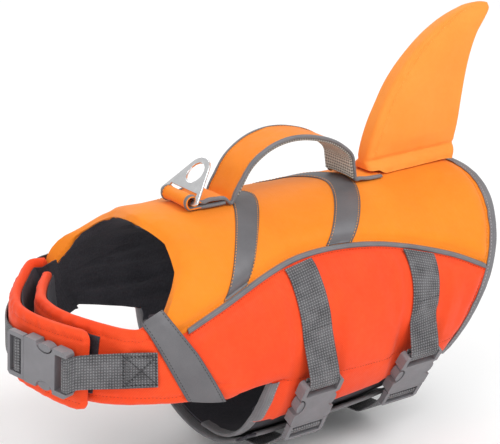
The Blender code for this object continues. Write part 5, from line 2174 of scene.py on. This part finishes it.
        def spot(i: int, k: int) -> tuple[Vector, Vector, Place]:
            """Crossing i from the wing to the body and k down the seam.

            Args:
                i: step from the wing to the body.
                k: step down the seam.

            Returns:
                Outer point, inner point and place on the cut.
            """
            s, t = i / rows, k / count
            z = mix(start, end, t)
            wing = self.outside(10.0 / self.length, mix(high, 0.98, t), 0.7)
            x = DIAGONAL.rear_x(z)
            angle = self.side * form.angle_at(x, z, 6.0)
            inside = max(0.0, x - form.front(min(abs(angle), 104)))
            pad = form.profile(inside, form.back_full - 0.6)
            at = wing.lerp(form.point(x, angle, form.foot + pad + 0.6), s)
            outward = form.normal(x, angle)
            at += outward * (1.3 * math.sin(math.pi * s)
                             + 0.12 * ripple(t * 80, 6 + self.side + i // 7, 12.0))
            place = (t * self.tape_length, (s - 0.5) * self.tape_width)
            return at + outward * 0.6, at, place

        tape = laid(rows, count, spot, 2, 0.2)
        lines = [[p + (p - q).normalized() * 0.12 for p, q in zip(tape.outer[i], tape.inner[i])]
                 for i in (1, rows - 1)]
        return tape, lines

    def build(self, bench: Bench) -> None:
        """Make the wing with its lining and tape.

        Args:
            bench: what the pieces are made with.
        """
        bench.pad("wing_" + self.tag, self.cloth(), Slot.RED, self.fill)
        bench.sheet("wing_lining_" + self.tag, self.lining(), Slot.LINING, Held.LAID)
        tape, lines = self.diagonal()
        bench.sheet("tape_diagonal_" + self.tag, tape, Slot.TAPE, Held.LAID)
        for line in lines:
            bench.sewing.run(Yarn.DARK, line)
        for t in (self.sewn_in / self.height, 1 - self.sewn_in / self.height):
            line = []
            for k in range(120):
                s = mix(12.0 / self.length, 1 - 4.5 / self.length, k / 119)
                line.append(self.outside(s, t, self.relief(s, t) + 0.1))
            bench.sewing.run(Yarn.RED, line)

    def patch(self, bench: Bench) -> None:
        """Black fastening patch under the other wing's edge.

        Args:
            bench: what the pieces are made with.
        """
        rows, columns = self.patch_rows, self.patch_columns

        def spot(i: int, j: int) -> tuple[Vector, Vector, Place]:
            """Crossing i along the wing and j down it.

            Args:
                i: step along the wing.
                j: step down it.

            Returns:
                Outer point, inner point and place on the cut.
            """
            s = mix(0.285 + 0.09 * j / columns, 0.56, i / rows)
            t = mix(0.12, 0.87, j / columns)
            rise = self.relief(s, t)
            nap = 0.15 * ripple(s * 180 + t * 40, 3, 3.0)
            return (self.outside(s, t, rise + 0.85 + nap), self.outside(s, t, rise + 0.1),
                    (s * self.length, t * self.height))

        bench.sheet("fastening_patch", laid(rows, columns, spot, 2, 0.2), Slot.LINING, Held.LAID)


# ---------------------------------------------------------------- webbing and buckles
@dataclass
class BucklePose:
    """Where a buckle lies: its middle, the way to the plug's end and the way out."""

    centre: Vector
    along: Vector
    outward: Vector

    def __post_init__(self) -> None:
        """Square the directions up."""
        self.outward = self.outward.normalized()
        self.along = (self.along - self.outward * self.along.dot(self.outward)).normalized()
        self.across = self.outward.cross(self.along)

    def at(self, u: float, w: float, v: float = 0.0) -> Vector:
        """Point at a distance along, out and across."""
        return self.centre + self.along * u + self.across * v + self.outward * w


@dataclass
class Webbing:
    """The grey straps: round the belly and across the chest."""

    width: float = 25.0
    wall: float = 1.5
    buckle: float = 8.0
    lift: float = 0.95
    chest_height: float = 0.47
    chest_station: float = 0.80
    cells: int = 14
    rounds: int = 5
    stitch_lift: float = 0.95
    buckle_gap: float = 0.6
    socket_reach: float = 39.0
    plug_reach: float = 34.0
    turn: float = 5.0
    over_flaps: float = 4.8 + 1.5 + 1.7
    step: float = 1.6
    long_step: float = 1.8
    sewn_lift: float = 2.1
    far_lift: float = 1.4
    far_start: float = 0.14
    far_reach: float = 33.0
    pull: float = 4.0
    double_seam: float = 0.011
    sewn_end: Sequence[Row] = (
        (0.067, 0.270, 0.117, 0.697), (0.081, 0.233, 0.143, 0.703), (0.103, 0.210, 0.177, 0.716),
        (0.137, 0.217, 0.213, 0.732), (0.185, 0.246, 0.251, 0.750))
    socket_loop: Sequence[Row] = (
        (-35, -1.8), (-29.5, 2.1), (-27, 2.75), (-24.2, 2.75), (-22.7, 1.9), (-22.2, 0),
        (-22.7, -1.9), (-24.2, -2.75), (-29.5, -2.95))
    plug_loop: Sequence[Row] = (
        (31, -3.15), (20, -3.15), (17.6, -2.9), (16.8, -1.7), (16.8, 1.2), (17.5, 2.6),
        (18.6, 2.95), (20.6, 2.95), (21.7, 2.6), (22.4, 1.2), (22.5, -0.3), (23.3, -1.2),
        (24.6, -1.35), (27, -1.35))

    def pair(self, at: Vector, across: Vector) -> tuple[Vector, Vector]:
        """Edge points either side of a place."""
        return at - across * (self.width / 2), at + across * (self.width / 2)

    def on_side(self, form: Form, strap: BellyStrap, side: Side, row: int) -> tuple[Vector, Vector]:
        """Edge points of a belly strap at one row of the side panel.

        Args:
            form: the jacket's form.
            strap: the strap.
            side: the flank.
            row: the side panel's row.

        Returns:
            The two edge points.
        """
        middle, angle = strap.top_x, 0.0
        for _ in range(self.rounds):
            angle = form.side_angles(middle, side)[row]
            middle = strap.at(angle)
        half, ends = self.width / 2, []
        outs = [form.top(middle + w, side * angle) for w in (-half, -half / 2, 0.0, half / 2, half)]
        for beside in (-half, half):
            edge, turned = middle + beside, angle
            for _ in range(self.rounds):
                turned = form.side_angles(edge, side)[row]
                edge = strap.at(turned) + beside
            ends.append(form.point(edge, side * turned, max(outs) + self.lift))
        return ends[0], ends[1]

    def on_angle(self, form: Form, strap: BellyStrap, angle: float) -> list[Vector]:
        """A line across a belly strap on the near side.

        Args:
            form: the jacket's form.
            strap: the strap.
            angle: girth angle, taken positive.

        Returns:
            Points of the line.
        """
        middle, half = strap.at(angle), self.width / 2
        top = max(form.top(middle + w, -angle) for w in (-half, 0.0, half))
        out = top + self.lift + self.stitch_lift
        return [form.point(middle + mix(-half + 1, half - 1, k / 8), -angle, out) for k in range(9)]

    def belly(self, bench: Bench, strap: BellyStrap) -> None:
        """Both ends of one belly strap, through its buckle.

        Args:
            bench: what the pieces are made with.
            strap: the strap.
        """
        form, x = bench.form, strap.x
        foot = form.point(x, -strap.buckle_angle, form.top(x, -115))
        lean = math.radians(strap.lean)
        outward = Vector((0, -math.sin(lean), math.cos(lean)))
        pose = BucklePose(foot + outward * (self.buckle / 2 + self.buckle_gap),
                          Vector((0, -math.cos(lean), -math.sin(lean))), outward)
        across = Vector((1, 0, 0))
        last = strap.buckle_angle - self.socket_reach / ARC
        rows = [row for row in range(1, SIDE_ROWS) if form.side_angles(x, Side.NEAR)[row] < last]
        path = [self.on_side(form, strap, Side.NEAR, row) for row in rows]
        path += [self.pair(pose.at(u, w), across) for u, w in self.socket_loop]
        sheet = strip(path, self.cells, self.step, self.wall)
        bench.sheet("webbing_belly_upper_" + strap.name, sheet, Slot.WEBBING, Held.LAID)
        bench.sewing.run(Yarn.DARK, self.on_angle(form, strap, strap.bar_angle))

        path = [self.pair(pose.at(u, w), across) for u, w in reversed(self.plug_loop)]
        over, angle = self.over_flaps, strap.buckle_angle + self.plug_reach
        start, end = angle, 360 - form.lower - 9
        while angle < end:
            out = over + 4.5 * (1 - smooth((angle - start) / 16))
            path.append(self.pair(form.point(x, -angle, out + 1.2), across))
            angle += self.turn
        path.append(self.pair(form.point(x, form.lower + 4, over + 1.5), across))
        path.append(self.pair(form.point(x, form.lower, over + 1.8), across))
        path += [self.on_side(form, strap, Side.FAR, row) for row in range(SIDE_ROWS - 1, 0, -1)]
        sheet = strip(path, self.cells, self.long_step, self.wall)
        bench.sheet("webbing_belly_lower_" + strap.name, sheet, Slot.WEBBING, Held.LAID)

    def chest(self, bench: Bench, near: ChestWing, far: ChestWing) -> None:
        """The chest strap from wing to wing.

        Args:
            bench: what the pieces are made with.
            near: the near wing.
            far: the far wing.
        """
        here, high = self.chest_station, self.chest_height
        _, normal = far.middle(here, high)
        along = far.outside(here - 0.13, high - 0.02) - far.outside(here + 0.10, high)
        outward = along.cross(far.upward(here))
        outward = -outward if outward.dot(normal) < 0 else outward
        centre = far.outside(here, high, self.buckle / 2 + self.buckle_gap)
        pose = BucklePose(centre, along, outward)
        across = pose.across if pose.across.z > 0 else -pose.across
        lift = self.sewn_lift
        path = [(near.outside(low, down, lift), near.outside(top, up, lift))
                for top, up, low, down in self.sewn_end]
        self.box_stitch(bench, near, path)
        rise = 1 if pose.across.z > 0 else -1
        for u, w in self.socket_loop:
            pulled = self.pull * clamp((-27.0 - u) / 8.0) if w > -2.5 else 0.0
            path.append(self.pair(pose.at(u, w, rise * pulled), across))
        sheet = strip(path, self.cells, self.step, self.wall)
        bench.sheet("webbing_chest_near", sheet, Slot.WEBBING, Held.LAID)
        end = here - self.far_reach / far.length
        shares = [mix(self.far_start, end, k / 10) for k in range(11)]
        path = [self.pair(far.outside(s, high, self.far_lift), far.upward(s)) for s in shares]
        path += [self.pair(pose.at(u, w), across) for u, w in self.plug_loop]
        path += [self.pair(pose.at(31, -1.35), across)]
        sheet = strip(path, self.cells, self.step, self.wall)
        bench.sheet("webbing_chest_far", sheet, Slot.WEBBING, Held.LAID)

    def box_stitch(self, bench: Bench, wing: ChestWing,
                   path: Sequence[tuple[Vector, Vector]]) -> None:
        """A sewn square with a cross in it near the strap's end.

        Args:
            bench: what the pieces are made with.
            wing: the wing under the strap.
            path: edge points of the strap's end.
        """
        first, second = [a for a, _ in path], [b for _, b in path]

        def spot(s: float, t: float) -> Vector:
            """Point over the strap at shares along and across."""
            a, b = spline(first, s), spline(second, s)
            return a.lerp(b, t) + wing.middle(0.2, 0.5)[1] * 0.95

        corners = ((0.05, 0.09), (0.05, 0.91), (0.93, 0.91), (0.93, 0.09), (0.05, 0.09),
                   (0.93, 0.91))
        lines = list(zip(corners, corners[1:])) + [((0.05, 0.91), (0.93, 0.09))]
        for (a, b), (c, d) in lines:
            for beside in (-self.double_seam, self.double_seam):
                bench.sewing.run(Yarn.DARK,
                                 [spot(mix(a, c, k / 24) + beside, mix(b, d, k / 24) + beside)
                                  for k in range(25)])

    def build(self, bench: Bench, near: ChestWing, far: ChestWing) -> None:
        """Make all straps.

        Args:
            bench: what the pieces are made with.
            near: the near wing.
            far: the far wing.
        """
        for strap in STRAPS:
            self.belly(bench, strap)
        self.chest(bench, near, far)


# ---------------------------------------------------------------- handle
@dataclass
class Handle:
    """Handle: a cover strap that runs on into the ring's roll, its mesh grip and bound edges."""

    width: float = 32.0
    cloth: float = 1.4
    thin: float = 1.1
    grip: float = 1.7
    roll_x: float = -61.0
    roll_radius: float = 4.1
    tail_x: float = 108.0
    rest_gap: float = 0.45
    slot_tuck: float = 0.85
    grip_gap: float = 0.75
    band_wall: float = 0.5
    grip_ends: Row = (3.5, 21)
    step: float = 1.8
    edge_gap: float = 0.3
    roll_way: Sequence[Row] = ((-33, 1.9), (-40, 2.9), (-46, 3.3), (-51.5, 2.6), (-56, 4.4))
    roll_end: Sequence[Row] = ((-51, -0.1), (-42, -0.5), (-33, -0.6))
    arch: Sequence[Row] = (
        (-28, 15.5), (-22, 24), (-17, 31.5), (-11, 39), (0, 46.5), (14, 51.5), (33, 52.5),
        (54, 47.5), (67, 41.5), (77, 34), (81.5, 28), (83, 19), (84.5, 11))

    def panel_z(self, form: Form, x: float, y: float = 0.0) -> float:
        """Height of the back panel's outer face."""
        angle = math.degrees(math.asin(clamp(y / 90.0, -1, 1)))
        return form.point(x, angle, form.top(x, angle)).z

    def path(self, form: Form) -> list[Vector]:
        """Middle of the cover from its tail under the fin to the end of the roll.

        Args:
            form: the jacket's form.

        Returns:
            Points of the path.
        """
        half = self.cloth / 2
        rest = self.panel_z(form, self.tail_x) + self.rest_gap + half
        path = [Vector((self.tail_x, 0, rest + 0.2)), Vector((97, 0, rest + 0.6)),
                Vector((88.5, 0, rest + 2.0))]
        arch = [Vector((x, 0, z)) for x, z in reversed(self.arch)]
        for k in range(20):
            way = spline(arch, min(1, k / 19 + 0.01)) - spline(arch, max(0, k / 19 - 0.01))
            path.append(spline(arch, k / 19) - Vector((way.z, 0, -way.x)).normalized() * half)
        low = self.panel_z(form, self.roll_x) + self.rest_gap + half + 0.6
        centre = Vector((self.roll_x, 0, low + self.roll_radius))
        path += [Vector((x, 0, low + up)) for x, up in self.roll_way]
        for k in range(9):
            a = math.radians(mix(48, 270, k / 8))
            path.append(centre + Vector((math.cos(a), 0, math.sin(a))) * self.roll_radius)
        path += [Vector((x, 0, low + up)) for x, up in self.roll_end]
        return path

    def drape(self, form: Form, point: Vector, y: float) -> Vector:
        """Lower a point of the flat strap as far as the back falls away beside the spine.

        Args:
            form: the jacket's form.
            point: the point, with any Y.
            y: Y of the lowered point.

        Returns:
            The lowered point.
        """
        near_panel = smooth((24.0 - point.z) / 10.0)
        drop = self.panel_z(form, point.x, y) - self.panel_z(form, point.x, 0.0)
        return Vector((point.x, y, point.z + drop * near_panel))

    @staticmethod
    def frames(path: Sequence[Vector], first: float, last: float,
               step: float) -> list[tuple[Vector, Vector, float]]:
        """Points, outward normals and run along a part of the path.

        Args:
            path: points of the path.
            first: start of the part, from 0 to 1.
            last: end of the part.
            step: about how far apart they lie.

        Returns:
            Point, normal and run at each place.
        """
        points = [spline(path, mix(first, last, k / 400)) for k in range(401)]
        length = sum((b - a).length for a, b in zip(points, points[1:]))
        count = round(length / step)
        frames, run = [], 0.0
        for k in range(count + 1):
            f = mix(first, last, k / count)
            at = spline(path, f)
            way = spline(path, min(1, f + 0.004)) - spline(path, max(0, f - 0.004))
            run += (at - frames[-1][0]).length if frames else 0.0
            frames.append((at, Vector((way.z, 0, -way.x)).normalized(), run))
        return frames

    def band(self, form: Form, frames: Sequence[tuple[Vector, Vector, float]], half: float,
             across: int, high: float, low: float, soft: float) -> Sheet:
        """A strap across the path between two heights.

        Args:
            form: the jacket's form.
            frames: places along the path.
            half: half width.
            across: cells across.
            high: outer face over the path.
            low: inner face over the path.
            soft: how much it waves.

        Returns:
            The sheet.
        """
        def spot(i: int, j: int) -> tuple[Vector, Vector, Place]:
            """Crossing i along the strap and j across it.

            Args:
                i: step along the strap.
                j: step across it.

            Returns:
                Outer point, inner point and place on the cut.
            """
            at, normal, run = frames[i]
            y = mix(-half, half, j / across)
            wave = soft * noise.noise(Vector((run / 11, y / 12, 7.0)))
            crown = 0.4 * soft * (1 - (y / half) ** 2)
            return (self.drape(form, at + normal * (high + wave + crown), y),
                    self.drape(form, at + normal * low, y), (run, y))

        return laid(len(frames) - 1, across, spot, 3, 0.5)

    def binding(self, form: Form, frames: Sequence[tuple[Vector, Vector, float]], side: Side,
                grip: Callable[[float], float]) -> Sheet:
        """Band folded over one long edge of the handle, narrower inside the ring's slot.

        Args:
            form: the jacket's form.
            frames: places along the path.
            side: the flank.
            grip: thickness under the cover at a run along it.

        Returns:
            The band.
        """
        outer, inner, cut, half = [], [], [], self.width / 2
        for at, normal, run in frames:
            low = -(self.thin / 2 + self.edge_gap + grip(run))
            high = self.thin / 2 + self.edge_gap
            wave = 0.25 * ripple(run, 30 + side, 6.0)
            tuck = self.slot_tuck * smooth((-50.0 - at.x) / 5.0)
            path = [Vector((half - 1.9 + wave, high)), Vector((half - 0.7, high + 0.08)),
                    Vector((half + 0.45, mix(high, low, 0.22))),
                    Vector((half + 0.6, mix(high, low, 0.5))),
                    Vector((half + 0.45, mix(high, low, 0.78))), Vector((half - 0.7, low - 0.08)),
                    Vector((half - 1.9 - wave, low))]
            top, deep, runs = fold(path, 12, self.band_wall / 2, lambda j, spot: self.drape(
                form, at + normal * spot.y, side * (spot.x - tuck)))
            outer.append(top)
            inner.append(deep)
            cut.append([(run, across) for across in runs])
        return Sheet(outer, inner, cut)

    def build(self, bench: Bench) -> None:
        """Make the cover, the grip and both bound edges.

        Args:
            bench: what the pieces are made with.
        """
        form, path = bench.form, self.path(bench.form)
        steps = len(path) - 1
        cover = self.band(form, self.frames(path, 0, 1, 1.6), self.width / 2 - 0.2, 20,
                          self.thin / 2, -self.thin / 2, 0.3)
        bench.sheet("handle_cover", cover, Slot.YELLOW, Held.FOLDED)
        first, last = self.grip_ends
        frames = self.frames(path, first / steps, last / steps, self.step)
        low = -(self.thin / 2 + self.grip_gap)
        grip = self.band(form, frames, self.width / 2 - 0.5, 18, low, low - self.grip, 0.0)
        bench.pad("handle_grip", grip, Slot.MESH, 0.5)
        whole = self.frames(path, 0, 1, self.step)
        lengths = [self.frames(path, 0, end / steps, self.step)[-1][2] for end in (first, last)]

        def padded(run: float) -> float:
            """Thickness of the grip under the cover at a run along it."""
            return 0.3 * smooth((run - lengths[0] + 5) / 5) * smooth((lengths[1] + 5 - run) / 5)

        for side, tag in FLANKS:
            bench.sheet("handle_binding_" + tag, self.binding(form, whole, side, padded),
                        Slot.BINDING, Held.FOLDED)
            edge = side * (self.width / 2 - 3.0)
            line = [self.drape(form, at + normal * (self.thin / 2 + self.edge_gap), edge)
                    for at, normal, _ in whole[:-22]]
            bench.sewing.run(Yarn.ORANGE, line)


# ---------------------------------------------------------------- fin
@dataclass
class Fin:
    """The stuffed fin on the back, boxed in front and flared at its foot."""

    rows: Sequence[Row] = (
        (7, 101, 182.5, 11.5), (13, 101, 185, 9.0), (17, 101, 186.5, 7.6), (34, 106, 190, 8.0),
        (52, 114, 193, 8.0), (72, 126, 197, 7.8), (88, 140, 202, 7.4), (100, 154, 208, 6.8),
        (110, 170, 216, 6.0), (116, 183, 220, 4.8), (120, 196, 219, 3.2))
    levels: int = 84
    foot_gap: float = 0.35
    strap_rise: float = 3.4
    gusset_in: float = 6.4
    foot_gather: Gather = Gather(1.1, 9.0, 12.5, 4.5)
    upper_gather: Gather = Gather(0.45, 7.0, 22, 4.5)
    gusset_gather: Gather = Gather(0.3, 6.0, 4, 3.5)
    pressed: int = 5
    crown: Sequence[Row] = ((0.72, 0.75), (0.4, 1.25), (0.0, 1.5))
    fill: float = 0.9

    @staticmethod
    def swell(x: float, z: float, front: float, rear: float, nose: float) -> float:
        """How far a side swells out between its two ends and between foot and tip.

        Args:
            x: place along X.
            z: height.
            front: x of the level's front.
            rear: x of the level's rear.
            nose: how long each end is.

        Returns:
            The swell in millimetres.
        """
        belly = 1.5 * math.sin(math.pi * clamp((x - front - nose) / (rear - front - 2 * nose)))
        return belly * (smooth((z - 17) / 14) * smooth((118 - z) / 24))

    def ring(self, z: float) -> list[tuple[Vector, float]]:
        """One level of the fin.

        Args:
            z: its height.

        Returns:
            Points in the plane with their distance round the fin, which starts at the nose.
        """
        front, rear, half = (curve(self.rows, k, z) for k in (1, 2, 3))
        nose = min(half * 0.75, 4.5)
        corner, sides = 7, 44
        points = []

        def turn(cx: float, cy: float, start: float, end: float) -> None:
            """Add a rounded corner.

            Args:
                cx: x of the corner's centre.
                cy: Y of it.
                start: first direction in degrees.
                end: last direction.
            """
            for k in range(corner + 1):
                a = math.radians(mix(start, end, k / corner))
                points.append((cx + nose * math.cos(a), cy + nose * math.sin(a)))

        turn(front + nose, half - nose, 180, 90)
        points += [(mix(front + nose, rear - nose, k / sides), half) for k in range(1, sides)]
        turn(rear - nose, half - nose, 90, 0)
        turn(rear - nose, -(half - nose), 0, -90)
        points += [(mix(rear - nose, front + nose, k / sides), -half) for k in range(1, sides)]
        turn(front + nose, -(half - nose), -90, -180)
        ring, run = [], 0.0
        for k, (x, y) in enumerate(points):
            on_side = abs(abs(y) - half) < 0.01
            belly = self.swell(x, z, front, rear, nose) if on_side else 0.0
            run += math.hypot(x - points[k - 1][0], y - points[k - 1][1]) if k else 0.0
            ring.append((Vector((x, y + math.copysign(belly, y), z)), run))
        return ring

    def relief(self, at: Vector, front: float, rear: float, lane: float) -> float:
        """Creases at the foot, the gusset's seam and slack on the sides.

        Args:
            at: the place.
            front: x of the level's front.
            rear: x of its rear.
            lane: number that makes the side's waves its own.

        Returns:
            The height of the relief.
        """
        foot = self.foot_gather.at(at.x, 40 + lane, at.z)
        foot += 1.1 * hump(at.z, 11.5, 3.6) - 1.5 * hump(at.z, 17.2, 1.7)
        foot += self.upper_gather.at(at.x, 43 + lane, at.z)
        seam = at.x - front - 4.4
        line = -0.65 * hump(seam, 0, 1.3) * smooth((at.z - 18) / 6)
        line += self.gusset_gather.at(at.z, 46 + lane, seam)
        slack = 0.5 * noise.noise(Vector((at.x / 26, at.z / 20, 5.0 + lane)))
        return foot + line + slack * smooth((at.z - 18) / 15) * smooth((rear - at.x) / 10)

    def foot(self, bench: Bench, handle: Handle, x: float) -> float:
        """Lowest height over the back panel and the handle's tail.

        Args:
            bench: what the piece is made with.
            handle: the handle, whose tail lies under the fin.
            x: place along X.

        Returns:
            The height.
        """
        panel = max(handle.panel_z(bench.form, x + d) for d in (-5, 0, 5))
        return panel + self.foot_gap + self.strap_rise * smooth((handle.tail_x + 8 - x) / 8)

    def gusset(self, sign: int, z: float,
               ring: Sequence[tuple[Vector, float]]) -> Optional[Vector]:
        """Stitch of the gusset's seam at one level.

        Args:
            sign: sign of Y of the fin's side.
            z: the level's height.
            ring: the level's points with their run round the fin.

        Returns:
            The stitch, or None where the seam has ended.
        """
        front, rear = ring[0][0].x, max(at.x for at, _ in ring)
        x = front + self.gusset_in
        half = curve(self.rows, 3, z) + self.swell(x, z, front, rear, 4.5)
        at = Vector((x, sign * half, z))
        lift = self.relief(at, front, rear, 1 if sign > 0 else 2)
        return at + Vector((0, sign * (lift + 0.1), 0)) if z > 19 and x < rear - 6 else None

    def level(self, bench: Bench, handle: Handle, k: int,
              ring: Sequence[tuple[Vector, float]]) -> list[Vector]:
        """Points of one level, with the relief and the foot laid on the back.

        Args:
            bench: what the piece is made with.
            handle: the handle, whose tail lies under the fin.
            k: the level.
            ring: its points with their run round the fin.

        Returns:
            The points.
        """
        front, rear = ring[0][0].x, max(at.x for at, _ in ring)
        spots = []
        for at, _ in ring:
            side = Vector((0, math.copysign(1.0, at.y), 0)) if abs(at.y) > 3 else Vector()
            lane = 1 if at.y > 0 else 2
            lift = self.relief(at, front, rear, lane) if k < self.levels - 1 else 0.0
            spot = at + side * lift
            if k < self.pressed:
                foot = self.foot(bench, handle, at.x)
                spot.z = max(spot.z, foot + 0.35 * k) if k else foot
            spots.append(spot)
        return spots

    def build(self, bench: Bench, handle: Handle) -> None:
        """Make the fin.

        Args:
            bench: what the piece is made with.
            handle: the handle, whose tail lies under the fin.
        """
        low, high = self.rows[0][0], self.rows[-1][0]
        points, places, faces, rings = [], [], [], []
        seams: dict[int, list[Vector]] = {-1: [], 1: []}
        for k in range(self.levels + 1):
            z = mix(low, high, k / self.levels)
            ring = self.ring(z)
            rings.append(list(range(len(points), len(points) + len(ring))))
            points += self.level(bench, handle, k, ring)
            places += [(run, z) for _, run in ring]
            for sign, seam in seams.items():
                stitch = self.gusset(sign, z, ring)
                if stitch is not None:
                    seam.append(stitch)
        count, tip = len(rings[0]), rings[-1]
        middle = sum((points[i] for i in tip), Vector()) / count
        for k, (shrink, rise) in enumerate(self.crown):
            closed = shrink == 0.0
            ring = tip[:1] if closed else tip
            row = list(range(len(points), len(points) + len(ring)))
            rings.append(row * count if closed else row)
            points += [middle + (points[i] - middle) * shrink + Vector((0, 0, rise)) for i in ring]
            places += [(places[i][0], high + 2 * k) for i in ring]
        for a, b in zip(rings, rings[1:]):
            for i in range(count):
                j = (i + 1) % count
                face = (a[j], a[i], b[i], b[j])
                faces.append(face if b[i] != b[j] else face[:3])
        foot = rings[0]
        for i in range(count // 2 - 1):
            faces.append((foot[i], foot[i + 1], foot[count - 2 - i], foot[count - 1 - i]))
        mesh = plain_mesh("fin", [p * MM for p in points], faces,
                          [(u / 100, v / 100) for u, v in places], bench.finish[Slot.FIN], 50)
        piece = bench.place("fin_sewn", mesh, Slot.FIN, ("fin",))
        for line in seams.values():
            bench.sewing.run(Yarn.ORANGE, line)


# ---------------------------------------------------------------- hard pieces
@dataclass
class HardPieces:
    """The frame's own buckles and leash ring, given their finishes."""

    buckles: Sequence[str] = ("belly_front", "belly_rear", "chest")

    def dress(self, bench: Bench) -> None:
        """Give the nodes their finishes.

        Args:
            bench: what the pieces are made with.
        """
        names = [part + "_" + tag for tag in self.buckles for part in ("socket", "plug")]
        for name in names:
            self.paint(name, bench.finish[Slot.PLASTIC])
        self.paint("leash_ring", bench.finish[Slot.STEEL])

    @staticmethod
    def paint(name: str, material: bpy.types.Material) -> None:
        """Assign a finish to every slot of a node.

        Args:
            name: name of the node.
            material: the finish.
        """
        piece = bpy.data.objects[name]
        if not piece.material_slots:
            piece.data.materials.append(material)
        for holder in piece.material_slots:
            holder.material = material


# ---------------------------------------------------------------- studio
@dataclass
class Studio:
    """Pale floor, soft lights and the camera."""

    azimuth: float = -36.0
    elevation: float = 19.5
    distance: float = 1.5
    target: Vector = field(default_factory=lambda: Vector((0.0, 0.0, -0.010)))
    lens: float = 151.2
    floor: float = -0.178
    floor_half: float = 6.0
    sky: float = 0.62
    lamps: Sequence[tuple[str, tuple[float, float, float], float, float]] = (
        ("key", (0.7, -1.5, 1.8), 1.5, 31), ("fill", (-1.6, -0.9, 1.0), 1.6, 14),
        ("rim", (0.4, 1.7, 1.5), 1.3, 14))

    def back(self) -> Vector:
        """Direction from the target to the camera."""
        a, e = math.radians(self.azimuth), math.radians(self.elevation)
        return Vector((math.sin(a) * math.cos(e), -math.cos(a) * math.cos(e), math.sin(e)))

    def build(self) -> None:
        """Make the studio."""
        camera = bpy.data.objects.new("camera", bpy.data.cameras.new("camera"))
        bpy.context.scene.collection.objects.link(camera)
        camera.data.lens = self.lens
        camera.data.sensor_width = 36.0
        camera.location = self.target + self.back() * self.distance
        camera.rotation_euler = (-self.back()).to_track_quat("-Z", "Y").to_euler()
        bpy.context.scene.camera = camera

        shade = Shade("studio_floor")
        mesh = bpy.data.meshes.new("floor")
        corners = [(x * self.floor_half, y * self.floor_half, self.floor)
                   for x, y in ((-1, -1), (1, -1), (1, 1), (-1, 1))]
        mesh.from_pydata(corners, [], [(0, 1, 2, 3)])
        base = shade.blend(shade.noise(900, 1), (0.95, 0.95, 0.95), (0.97, 0.97, 0.97))
        mesh.materials.append(shade.finish(base, 0.9, shade.noise(5, 1), 0.0))
        floor = bpy.data.objects.new("floor", mesh)
        bpy.context.scene.collection.objects.link(floor)

        world = bpy.data.worlds.new("studio")
        world.use_nodes = True
        world.node_tree.nodes["Background"].inputs[0].default_value = (1, 1, 1, 1)
        world.node_tree.nodes["Background"].inputs[1].default_value = self.sky
        bpy.context.scene.world = world
        bpy.context.scene.view_settings.view_transform = "Standard"
        for lamp in self.lamps:
            self.lamp(*lamp)

    @staticmethod
    def lamp(name: str, at: tuple[float, float, float], size: float, power: float) -> None:
        """A square soft light that faces the jacket.

        Args:
            name: the light's name.
            at: where it stands, in metres.
            size: side of the square.
            power: power in watts.
        """
        light = bpy.data.lights.new(name, "AREA")
        light.size = size
        light.energy = power
        lamp = bpy.data.objects.new(name, light)
        lamp.location = at
        lamp.rotation_euler = Vector(at).to_track_quat("Z", "Y").to_euler()
        bpy.context.scene.collection.objects.link(lamp)


# ---------------------------------------------------------------- assembly
def creases(form: Form) -> dict[Side, tuple[Crease, ...]]:
    """The soft creases of each panel.

    Args:
        form: the jacket's form.

    Returns:
        The creases by panel.
    """
    def side(x0: float, z0: float, x1: float, z1: float, width: float, depth: float) -> Crease:
        """Crease on a side between two heights."""
        return Crease(x0, form.angle_at(x0, z0), x1, form.angle_at(x1, z1), width, depth)

    near = (side(60, -30, 70, -104, 8, 1.6), side(-78, -52, -64, -84, 9, 1.2),
            side(134, -62, 122, -96, 6, 1.1), side(20, -34, 44, -52, 7, 0.7),
            side(-50, -34, -34, -74, 7, 0.6), side(112, -36, 140, -52, 6, 0.8))
    far = (side(58, -34, 66, -100, 8, 1.5), side(-76, -50, -60, -80, 8, 1.1),
           side(130, -58, 124, -92, 7, 1.0), side(14, -60, 46, -44, 7, 0.8),
           side(-44, -40, -30, -70, 7, 0.7))
    back = (Crease(-88, -22, -60, -34, 7, 0.6), Crease(-84, 18, -56, 30, 7, 0.6),
            Crease(18, -30, 46, -12, 9, 0.5), Crease(26, 16, 60, 34, 9, 0.55),
            Crease(112, -36, 150, -22, 8, 0.7), Crease(120, 20, 156, 34, 8, 0.6),
            Crease(-30, -40, -12, -14, 8, 0.45), Crease(-26, 38, -14, 18, 8, 0.45),
            Crease(164, -30, 172, 22, 6, 0.6))
    return {Side.NEAR: near, Side.FAR: far, Side.BACK: back}


def main() -> None:
    """Build the jacket piece by piece and report each one."""
    logging.basicConfig(level=logging.INFO, format="%(message)s")
    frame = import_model()
    LOG.info("%d nodes in the frame", len(frame["nodes"]))
    form = Form()
    form.creases = creases(form)
    bench = Bench(form)
    Studio().build()
    flaps = BellyFlaps()
    BodyPanels().build(bench)
    SeamTapes().build(bench)
    Bindings().build(bench, flaps)
    flaps.build(bench)
    near = ChestWing(Side.NEAR, "near", NEAR_ROWS, 0.25, form)
    far = ChestWing(Side.FAR, "far", FAR_ROWS, 0.16, form)
    near.build(bench)
    far.build(bench)
    near.patch(bench)
    Webbing().build(bench, near, far)
    handle = Handle()
    handle.build(bench)
    Fin().build(bench, handle)
    HardPieces().dress(bench)
    for yarn in bench.sewing.runs:
        bench.place("stitches_" + yarn.value.name, bench.sewing.build(yarn), None, ())


if __name__ == "__main__":
    main()
